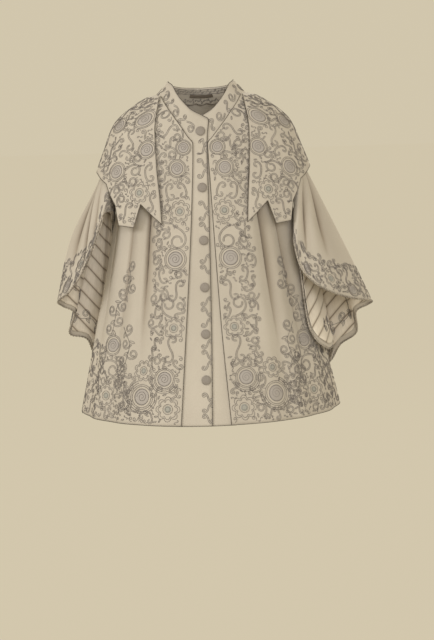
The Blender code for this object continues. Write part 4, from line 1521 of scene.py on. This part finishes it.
def vine(ground, a, b, pitch, size):
    """A stem with curls and leaves on alternate sides."""
    lines = [ground.at(a, b, BRAID_HEIGHT)]
    for k, (stem_a, stem_b, heading) in enumerate(spaced(ground, a, b, pitch)):
        side = 1.0 if k % 2 else -1.0
        rate_a, rate_b = rates(ground, stem_a, stem_b)
        away = heading + side * VINE_CURL_ANGLE
        place = (stem_a + size * math.cos(away) / rate_a, stem_b - size * math.sin(away) / rate_b)
        lines += laid(ground, place, MOTIFS["curl"], size, away, side, ROW_GAP)
        bud = heading - side * VINE_LEAF_ANGLE
        out = VINE_LEAF_OUT * size
        place = (stem_a + out * math.cos(bud) / rate_a, stem_b - out * math.sin(bud) / rate_b)
        lines += laid(ground, place, MOTIFS["leaf"], VINE_LEAF_SIZE * size, bud)
    return lines


EDGE_MARGIN = 0.003            # least distance of the filling from a panel's edge
EDGE_FOLLOWED = (0.10, 0.20)   # distances from the centre between which motifs stop following a front's edge
STRIP_WIDTH = 0.084            # braided strip along a front's edge
COVERED_STRIP_WIDTH = 0.105    # and where the cape covers its outer side
CAPE_COVERS = 0.30             # drop down to which the cape does
HEM_TOP = 0.780                # drop from which a front's hem is braided beside the strip
HEM_RISE = 0.140               # how much higher the braid starts towards the side
HEM_RISES = (0.05, 0.20)       # distances from the front's edge between which it rises
FILL_ANGLES = np.linspace(0.05, 1.52, 190)
FILL_DROPS = np.linspace(0.05, LENGTH, 240)


def front_design(side):
    """Braid and discs of one front."""
    ground = FRONT_GROUNDS[side]
    design = Design(ground)

    def spot(distance, drop):
        shift = float(FRONT_EDGE(side, drop) - FRONT_EDGE("right", drop))
        near = 1.0 - smoothstep(*EDGE_FOLLOWED, distance)
        return ground.spot(distance + shift * near, drop)

    def beyond(angle, drop):
        return BODY("half_width", drop) * np.sin(angle) - FRONT_EDGE(side, drop)

    def inside(angle, drop):
        within = (beyond(angle, drop) > EDGE_MARGIN) & (angle < side_edge(drop))
        return within & (drop < LENGTH - EDGE_MARGIN)

    def in_strip(angle, drop):
        return beyond(angle, drop) < np.where(drop < CAPE_COVERS, COVERED_STRIP_WIDTH, STRIP_WIDTH)

    def in_hem(angle, drop):
        away = beyond(angle, drop)
        top = HEM_TOP - HEM_RISE * smoothstep(*HEM_RISES, away)
        return (away >= STRIP_WIDTH) & (drop > top)

    design.lay(FRONT_MOTIFS, spot)
    for distance, drop, radius, start, end in SWEPT_ROSETTES:
        for share in SWEEPS:
            design.lines += laid(ground, spot(distance, drop), [sweep(share, start, end)], radius)
    for table in (SIDE_VINE, LOWER_VINE):
        drop = np.linspace(table.key[0], table.key[-1], VINE_POINTS)
        angle = angle_at(BODY, table("distance", drop), drop)
        design.lines += vine(ground, angle, drop, VINE_PITCH, VINE_SIZE)
    design.fill(*candidates(FILL_ANGLES, FILL_DROPS, in_strip), inside, seed=11)
    design.fill_round(*candidates(FILL_ANGLES, FILL_DROPS, in_hem), inside, front_seed=12, side_seed=13)
    return design
CAPE_MARGIN = 0.004            # least distance of the filling from the cape's ends, as a share of its run
CAPE_FILL_COLUMNS = 260
CAPE_FILL_ROWS = 120


def by_degrees(degrees, drop):
    return math.radians(degrees), drop


def cape_design(side):
    """Braid and discs of one half of the cape."""
    ground = CAPE_GROUNDS[side]
    design = Design(ground)

    def inside(angle, drop):
        along = cape_along(angle, drop)
        below = cape_bottom(along) - EDGE_MARGIN
        within = (along > CAPE_MARGIN) & (along < 1.0 - CAPE_MARGIN)
        return within & (drop > cape_top(along)) & (drop < below)

    design.lay(CAPE_MOTIFS, ground.spot)
    design.lay(CAPE_BACK_MOTIFS, by_degrees)
    along, share = pairs(np.linspace(0.0, 1.0, CAPE_FILL_COLUMNS), np.linspace(0.0, 1.0, CAPE_FILL_ROWS))
    drop = cape_top(along) + (cape_bottom(along) - cape_top(along)) * share
    design.fill_round(cape_angle(along, drop), drop, inside, front_seed=21, side_seed=22)
    return design


BACK_HEM = 0.650               # drop from which the unseen back is braided
BACK_FILL_COLUMNS = 260
BACK_FILL_ROWS = 60


def back_spot(sign):
    """Places on one half of the back, by degrees from the centre front and by drop."""

    def spot(degrees, drop):
        return math.pi + sign * math.radians(180.0 - degrees), drop

    return spot


def back_design():
    """Braid and discs of the back's hem."""
    design = Design(BACK_GROUND)

    def in_hem(angle, drop):
        within = np.abs(angle - np.pi) < np.pi / 2 - side_seam(drop)
        return within & (drop > BACK_HEM) & (drop < LENGTH - EDGE_MARGIN)

    for sign in (1.0, -1.0):
        design.lay(BACK_HEM_MOTIFS, back_spot(sign))
    angles = np.linspace(0.5 * np.pi, 1.5 * np.pi, BACK_FILL_COLUMNS)
    drops = np.linspace(BACK_HEM, LENGTH, BACK_FILL_ROWS)
    design.fill(*candidates(angles, drops, in_hem), in_hem, seed=31, scale=BACK_SCALE)
    return design


# Sleeve borders, by turn round the hem and width up from it
SLEEVE_BORDER = Table("turn width", (
    (0.00, 0.030),
    (0.12, 0.046),
    (0.20, 0.060),
    (0.30, 0.074),
    (0.42, 0.090),
    (0.60, 0.050),
    (0.75, 0.034),
    (0.94, 0.028),
))

# Motifs of a sleeve's border, by turn round the hem and distance up from it
SLEEVE_MOTIFS = (
    ("c_scroll", 0.100, 0.015, 0.011, 70.0),
    ("s_scroll", 0.160, 0.016, 0.013, 20.0),
    ("rosette", 0.215, 0.019, 0.013, 0.0),
    ("c_scroll", 0.250, 0.038, 0.016, 30.0),
    ("daisy", 0.315, 0.036, 0.023, 0.0),
    ("s_scroll", 0.370, 0.056, 0.018, 50.0),
    ("rosette", 0.375, 0.022, 0.017, 0.0),
    ("daisy", 0.430, 0.046, 0.025, 10.0),
    ("rosette", 0.500, 0.030, 0.018, 0.0),
    ("c_scroll", 0.560, 0.025, 0.017, 200.0),
    ("daisy", 0.630, 0.024, 0.018, 0.0),
    ("rosette", 0.710, 0.020, 0.014, 0.0),
    ("s_scroll", 0.790, 0.017, 0.013, 30.0),
    ("curl", 0.880, 0.015, 0.011, 0.0),
    ("s_scroll", 0.960, 0.014, 0.010, 20.0),
)

HEM_LEVEL = 0.94               # share down a sleeve at which its border's sizes are measured
SLEEVE_FILL_END = 0.993        # share down a sleeve at which the filling ends
SLEEVE_FILL_COLUMNS = 300
SLEEVE_FILL_ROWS = 30


def sleeve_design(ground):
    """Braid and discs along a sleeve's hem."""
    design = Design(ground)

    def spot(turn, up):
        return turn, 1.0 - up / float(rates(ground, turn, HEM_LEVEL)[1])

    def inside(turn, down):
        return (down > 0.0) & (down < SLEEVE_FILL_END)

    design.lay(SLEEVE_MOTIFS, spot)
    turns = np.linspace(0.0, 1.0, SLEEVE_FILL_COLUMNS, endpoint=False)
    turn, share = pairs(turns, np.linspace(0.0, 1.0, SLEEVE_FILL_ROWS))
    reach = rates(ground, turn, np.full(turn.shape, HEM_LEVEL))[1]
    down = 1.0 - share * SLEEVE_BORDER.around("width", turn) / reach
    design.fill(turn, down, inside, seed=41, scale=SLEEVE_SCALE)
    return design


LINING_VINE_TURNS = (0.20, 0.86)   # where the lining is long enough for its vine
LINING_VINE_LEVEL = 0.9        # share down the lining at which the vine's place is measured
LINING_VINE_UP = 0.045
LINING_VINE_WAVE = 0.010
LINING_VINE_WAVES = 6
LINING_VINE_POINTS = 200
LINING_VINE_PITCH = 0.036
LINING_VINE_SIZE = 0.011


def lining_design(ground):
    """Scroll vine round the lining, above its hem."""
    turn = np.linspace(*LINING_VINE_TURNS, LINING_VINE_POINTS)
    up = LINING_VINE_UP + LINING_VINE_WAVE * np.sin(2 * np.pi * LINING_VINE_WAVES * turn)
    down = 1.0 - up / rates(ground, turn, np.full(turn.shape, LINING_VINE_LEVEL))[1]
    return vine(ground, turn, down, LINING_VINE_PITCH, LINING_VINE_SIZE)


# Making every piece


def sewn_on(name, design):
    """The satin discs and the braid of one panel."""
    return [
        disc_piece(name + "_lilac_discs", design.ground, design.lilac, SATIN_LILAC),
        disc_piece(name + "_green_discs", design.ground, design.green, SATIN_GREEN),
        braid_piece(name + "_braid", design.lines),
    ]


PIPING_RADIUS = 0.00085
PIPING_HEIGHT = 0.0001
PIPING_START = 0.001           # how far below a front's top its piping starts
HEM_PIPING_UP = 0.0005         # how far above the hem's edge the piping lies
HEM_PIPING_SHORT = 0.004       # angle by which it ends short of a side seam
FRONT_EDGE_POINTS = 260
FRONT_HEM_POINTS = 160
BACK_HEM_POINTS = 320
CAPE_FRONT_POINTS = 160
CAPE_EDGE_POINTS = 260
BAND_EDGE_POINTS = 420
BAND_HEM_POINTS = 20


def piping_piece(name, edges):
    """Thin cord along the edges of one panel."""
    return braid_piece(name + "_piping", edges, PIPING_RADIUS, PIPING)


def hem_piping(ground, start, end, points):
    """Path of the piping along the hem between two angles."""
    angle = np.linspace(start, end, points)
    return ground.at(angle, np.full(angle.shape, LENGTH - HEM_PIPING_UP), PIPING_HEIGHT)


def make_fronts():
    for side in SIGNS:
        name = f"front_{side}"
        grid, shade = front_grid(side)
        cloth = wool_piece(name, grid, shade=shade)
        design = front_design(side)
        drop = np.linspace(FRONT_TOP + PIPING_START, LENGTH, FRONT_EDGE_POINTS)
        inner = angle_at(BODY, FRONT_EDGE(side, drop), drop)
        front = design.ground.at(inner, drop, PIPING_HEIGHT)
        hem = hem_piping(design.ground, inner[-1], np.pi / 2 - HEM_PIPING_SHORT, FRONT_HEM_POINTS)
        sewn_on(name, design) + [piping_piece(name, [front, hem])]


def make_back():
    grid, shade = back_grid()
    cloth = wool_piece("back", grid, shade=shade)
    start = np.pi / 2 + HEM_PIPING_SHORT
    end = 1.5 * np.pi - HEM_PIPING_SHORT
    hem = hem_piping(BACK_GROUND, start, end, BACK_HEM_POINTS)
    sewn_on("back", back_design()) + [piping_piece("back", [hem])]


def make_capes():
    for side in SIGNS:
        name = f"cape_{side}"
        grid = cape_grid()
        if side == "right":
            grid = mirrored(grid)
        cloth = wool_piece(name, grid)
        design = cape_design(side)
        drop = np.linspace(CAPE_FRONT.key[0], CAPE_EDGE.columns["drop"][0], CAPE_FRONT_POINTS)
        front = design.ground.at(cape_angle(0.0, drop), drop, PIPING_HEIGHT)
        along = cape_stops(CAPE_EDGE_POINTS)
        bottom = cape_bottom(along)
        lower = design.ground.at(cape_angle(along, bottom), bottom, PIPING_HEIGHT)
        sewn_on(name, design) + [piping_piece(name, [front, lower])]


BAND_SPACES = BAND_NECK_ROWS + BAND_STAND_ROWS - 1
NECK_SCROLL_PITCH = 0.030
NECK_SCROLL = 0.0110           # half-length
NECK_SCROLL_TURN = 0.5         # radians from the band's run
NECK_SCROLL_LINE = 0.46        # share across the band
NECK_SCROLLS_START = 0.01      # share down the band
NECK_SCROLLS_SHORT = 14        # rows above the stand at which the neck's scrolls end
NECK_SCROLL_POINTS = 160
STAND_SCROLL_PITCH = 0.0255
STAND_SCROLL = 0.0118
STAND_SCROLL_TURN = 0.25
STAND_SCROLL_INSET = 0.0105    # from the stand's edge
STAND_SCROLL_CLEAR = 0.008     # least distance from a button's rim
STAND_SCROLLS_EARLY = 6        # rows above the stand at which its scrolls start
STAND_SCROLLS_END = 0.996      # share down the band
STAND_SCROLL_POINTS = 300


def alternate(k):
    """A sign that changes from each place to the next."""
    return 1.0 if k % 2 else -1.0


def neck_scrolls(ground):
    """Braid round the neckband, a scroll and a curl by turns."""
    end = (BAND_NECK_ROWS - NECK_SCROLLS_SHORT) / BAND_SPACES
    down = np.linspace(NECK_SCROLLS_START, end, NECK_SCROLL_POINTS)
    across = np.full(down.shape, NECK_SCROLL_LINE)
    lines = []
    for k, (a, b, heading) in enumerate(spaced(ground, across, down, NECK_SCROLL_PITCH)):
        motif = MOTIFS["s_scroll" if k % 2 else "curl"]
        lines += laid(ground, (a, b), motif, NECK_SCROLL, heading + NECK_SCROLL_TURN, alternate(k), ROW_GAP)
    return lines


def stand_scrolls(ground, edge):
    """Braid down the button stand, with room left for the buttons."""
    start = (BAND_NECK_ROWS - STAND_SCROLLS_EARLY) / BAND_SPACES
    down = np.linspace(start, STAND_SCROLLS_END, STAND_SCROLL_POINTS)
    width = rates(ground, np.full(down.shape, 0.5), down)[0]
    across = edge - STAND_SCROLL_INSET / width
    lines = []
    for k, (a, b, heading) in enumerate(spaced(ground, across, down, STAND_SCROLL_PITCH)):
        height = ground.at(a, b, 0.0)[2]
        beside = min(abs(-height - drop) for drop in BUTTON_DROPS)
        if beside > BUTTON_RADIUS + STAND_SCROLL_CLEAR:
            flip = alternate(k)
            turn = heading + STAND_SCROLL_TURN * flip
            lines += laid(ground, (a, b), MOTIFS["s_scroll"], STAND_SCROLL, turn, flip, ROW_GAP)
    return lines


def make_bands():
    for side in SIGNS:
        name = f"band_{side}"
        grid = band_grid(side)
        if side == "right":
            grid = mirrored(grid)
        cloth = wool_piece(name, grid)
        ground = GridGround(grid, CLOTH)
        inner = 1.0 if side == "right" else 0.0
        lines = neck_scrolls(ground)
        if side == "right":
            lines += stand_scrolls(ground, inner)
        down = np.linspace(0.0, 1.0, BAND_EDGE_POINTS)
        front = ground.at(np.full(down.shape, inner), down, PIPING_HEIGHT)
        across = np.linspace(0.0, 1.0, BAND_HEM_POINTS)
        hem = ground.at(across, np.full(across.shape, 1.0), PIPING_HEIGHT)
        braid_piece(name + "_braid", lines)
        piping_piece(name, [front, hem])


ROPE_RADIUS = 0.0028
ROPE_STRANDS = 3
ROPE_TWIST = 260.0             # turn of the rope's section, in radians a metre
ROPE_STEP = 0.0018
SLEEVES = {"right": (SLEEVE_RIGHT, CREASES_RIGHT), "left": (SLEEVE_LEFT, CREASES_LEFT)}


def rope_piece(name, path):
    """Twisted rope along a sleeve's hem."""
    values = {"Radius": ROPE_RADIUS, "Strands": ROPE_STRANDS, "Twist": ROPE_TWIST, "Finish": ROPE}
    mesh = grown(paths_mesh(name, [path], ROPE_STEP), TWISTED, values)
    mesh.name = name
    return show(name, mesh, "grey_braid")


def make_sleeves():
    for side, (lines, creases) in SLEEVES.items():
        name = f"sleeve_{side}"
        lining_name = f"lining_{side}"
        grid, shade = sleeve_grid(lines, creases)
        inner = lining_grid(grid)
        design = sleeve_design(GridGround(grid, CLOTH, closed=True, side=SIGNS[side]))
        lining_ground = GridGround(inner, LINING_CLOTH, closed=True, inside=True, side=SIGNS[side])
        if side == "right":
            grid = mirrored(grid)
            inner = mirrored(inner)
            shade = shade[:, ::-1]
        cloth = wool_piece(name, grid, closed=True, shade=shade)
        lining = cloth_piece(lining_name + "_silk", inner, LINING_CLOTH, SILK, "sleeve_silk", lining_name,
                             closed=True)
        trimmings = sewn_on(name, design)
        braid_piece(lining_name + "_braid", lining_design(lining_ground))
        hem = np.concatenate([grid[-1], grid[-1, :1]])
        trimmings + [rope_piece(name + "_rope", hem)]


FACING_BRAID_SPAN = (0.02, 0.98)   # shares across the facing
FACING_BRAID_POINTS = 200
FACING_ROWS = (0.02, 0.30, 0.97)   # shares down it of its plain rows of braid
FACING_SCROLLS = ((0.16, 0.0048), (0.74, 0.0052))  # share down it and half-length of its two rows of scrolls
FACING_SCROLL_SPACING = 2.1    # as a share of their half-length
FACING_SCROLL_TURN = 0.6


def make_neck():
    grid = facing_grid()
    cloth = wool_piece("neck_facing", grid)
    cloth_piece("hang_loop_tape", loop_grid(), LINING_CLOTH, LOOP_WEAVE, "loop_tape", "hang_loop")
    ground = GridGround(grid, CLOTH, inside=True)
    across = np.linspace(*FACING_BRAID_SPAN, FACING_BRAID_POINTS)
    lines = []
    for level, size in FACING_SCROLLS:
        places = spaced(ground, across, np.full(across.shape, level), FACING_SCROLL_SPACING * size)
        for k, (a, b, heading) in enumerate(places):
            turn = heading + FACING_SCROLL_TURN
            lines += laid(ground, (a, b), MOTIFS["s_scroll"], size, turn, alternate(k))
    for level in FACING_ROWS:
        lines.append(ground.at(across, np.full(across.shape, level), BRAID_HEIGHT))
    braid_piece("neck_facing_braid", lines)


# Buttons

BUTTON_SIDES = 48
BUTTON_RINGS = 18
BUTTON_THREADS = 16            # wound ridges that run out from the button's middle
BUTTON_RIDGE = 0.00022
BUTTON_RIDGE_SHARES = (0.15, 0.40)     # shares of the way from rim to crown between which the ridges rise
BUTTON_SINK = 0.004            # how far its foot lies under its seat, as a share of its height
BUTTON_PROFILE = Table("share height radius", (
    (0.00, 0.00, 0.80),
    (0.15, 0.10, 0.96),
    (0.35, 0.32, 1.00),
    (0.60, 0.66, 0.84),
    (0.80, 0.88, 0.56),
    (0.92, 0.97, 0.30),
    (1.00, 1.00, 0.14),
))


def button_mesh():
    """A covered button at the origin, facing up, with wound ridges."""
    share = np.linspace(0.0, 1.0, BUTTON_RINGS)[:, None]
    turn = (2 * np.pi * np.arange(BUTTON_SIDES) / BUTTON_SIDES)[None, :]
    ridge = BUTTON_RIDGE * np.cos(BUTTON_THREADS * turn) * smoothstep(*BUTTON_RIDGE_SHARES, share)
    radius = BUTTON_RADIUS * BUTTON_PROFILE("radius", share) + ridge
    height = BUTTON_HEIGHT * BUTTON_PROFILE("height", share) - BUTTON_SINK * BUTTON_HEIGHT + 0.0 * turn
    rings = np.stack([radius * np.cos(turn), radius * np.sin(turn), height], axis=-1)
    faces = []
    for i in range(BUTTON_RINGS - 1):
        low = i * BUTTON_SIDES
        high = low + BUTTON_SIDES
        for j in range(BUTTON_SIDES):
            k = (j + 1) % BUTTON_SIDES
            faces.append((low + j, low + k, high + k, high + j))
    last = (BUTTON_RINGS - 1) * BUTTON_SIDES
    faces.append(tuple(range(BUTTON_SIDES))[::-1])
    faces.append(tuple(last + j for j in range(BUTTON_SIDES)))
    mesh = bpy.data.meshes.new("button")
    mesh.from_pydata(rings.reshape(-1, 3).tolist(), [], faces)
    spin = np.tile(turn[0] / (2 * np.pi), BUTTON_RINGS)
    out = np.repeat(share[:, 0], BUTTON_SIDES)
    set_threads(mesh, np.stack([spin, out], axis=-1))
    mesh.shade_smooth()
    return mesh


def make_buttons():
    drop = np.array(BUTTON_DROPS)
    angle = -angle_at(BODY, BUTTON_INSET - STAND_EDGE("right", drop), drop)
    seat = LAYER + 0.5 * CLOTH + SEAM + ripple(angle, drop)
    place = lifted(BODY, angle, drop, seat)
    facing = lifted(BODY, angle, drop, seat + BUTTON_HEIGHT) - place
    points = bpy.data.meshes.new("button_places")
    points.from_pydata(place.tolist(), [], [])
    direction = points.attributes.new("facing", "FLOAT_VECTOR", "POINT")
    direction.data.foreach_set("vector", facing.ravel())
    pattern = bpy.data.objects.new("button_pattern", button_mesh())
    bpy.context.scene.collection.objects.link(pattern)
    mesh = grown(points, BUTTONS, {"Button": pattern, "Finish": BUTTON_COVER})
    bpy.data.objects.remove(pattern)
    mesh.name = "covered_buttons"
    show("covered_buttons", mesh, "grey_braid", *[f"button_{k + 1}" for k in range(len(BUTTON_DROPS))])


make_back()
make_fronts()
make_bands()
make_capes()
make_sleeves()
make_neck()
make_buttons()


# Studio

FLOOR_DROP = 1.62
FLOOR_SIZE = 40.0
FLOOR_COLOUR = (0.05, 0.045, 0.035, 1.0)
FLOOR_GLOW = 0.94
PAPER = (0.640, 0.566, 0.416)
CAMERA_AIM = Vector((0.022, 0.0, -0.594))
CAMERA_DISTANCE = 3.8
CAMERA_ELEVATION = math.radians(8.5)
CAMERA_ROLL = math.radians(-1.8)
CAMERA_LENS = 85.0
CAMERA_SENSOR = 36.0
LIGHT_COLOUR = (1.0, 0.98, 0.96)

# Lamps: name, place, size and power
LIGHTS = (
    ("key_light", (-3.4, -2.6, 1.4), 1.4, 66.0),
    ("front_light", (0.8, -4.3, 0.7), 1.8, 64.0),
    ("back_light", (0.6, 3.2, 2.2), 2.6, 45.0),
)


def make_floor():
    """A wide plain floor that glows softly in the colour of the air, so that no horizon shows."""
    material, shader, _ = new_finish("studio_floor", roughness=0.95)
    shader.inputs["Base Color"].default_value = FLOOR_COLOUR
    shader.inputs["Specular IOR Level"].default_value = 0.0
    shader.inputs["Emission Color"].default_value = (*PAPER, 1.0)
    shader.inputs["Emission Strength"].default_value = FLOOR_GLOW
    corners = ((-1, -1), (1, -1), (1, 1), (-1, 1))
    points = [(FLOOR_SIZE * x, FLOOR_SIZE * y, -FLOOR_DROP) for x, y in corners]
    mesh = bpy.data.meshes.new("studio_floor")
    mesh.from_pydata(points, [], [(0, 1, 2, 3)])
    mesh.materials.append(material)
    floor = bpy.data.objects.new("studio_floor", mesh)
    bpy.context.scene.collection.objects.link(floor)


def soft_light(name, place, size, power):
    """A large square lamp that points at the cloak."""
    lamp = bpy.data.lights.new(name, "AREA")
    lamp.shape = "SQUARE"
    lamp.size = size
    lamp.energy = power
    lamp.color = LIGHT_COLOUR
    light = bpy.data.objects.new(name, lamp)
    light.location = place
    light.rotation_euler = (CAMERA_AIM - Vector(place)).to_track_quat("-Z", "Y").to_euler()
    bpy.context.scene.collection.objects.link(light)


def make_studio():
    make_floor()
    for name, place, size, power in LIGHTS:
        soft_light(name, place, size, power)
    bpy.context.scene.view_settings.view_transform = "Standard"
    world = bpy.data.worlds.new("studio_air")
    world.use_nodes = True
    air = world.node_tree.nodes["Background"]
    air.inputs["Color"].default_value = (*PAPER, 1.0)
    air.inputs["Strength"].default_value = 1.0
    bpy.context.scene.world = world
    lens = bpy.data.cameras.new("camera")
    lens.lens = CAMERA_LENS
    lens.sensor_width = CAMERA_SENSOR
    camera = bpy.data.objects.new("camera", lens)
    offset = Vector((0.0, -math.cos(CAMERA_ELEVATION), math.sin(CAMERA_ELEVATION))) * CAMERA_DISTANCE
    turn = (-offset).to_track_quat("-Z", "Y").to_matrix() @ Matrix.Rotation(CAMERA_ROLL, 3, "Z")
    camera.matrix_world = Matrix.Translation(CAMERA_AIM + offset) @ turn.to_4x4()
    bpy.context.scene.collection.objects.link(camera)
    bpy.context.scene.camera = camera


make_studio()
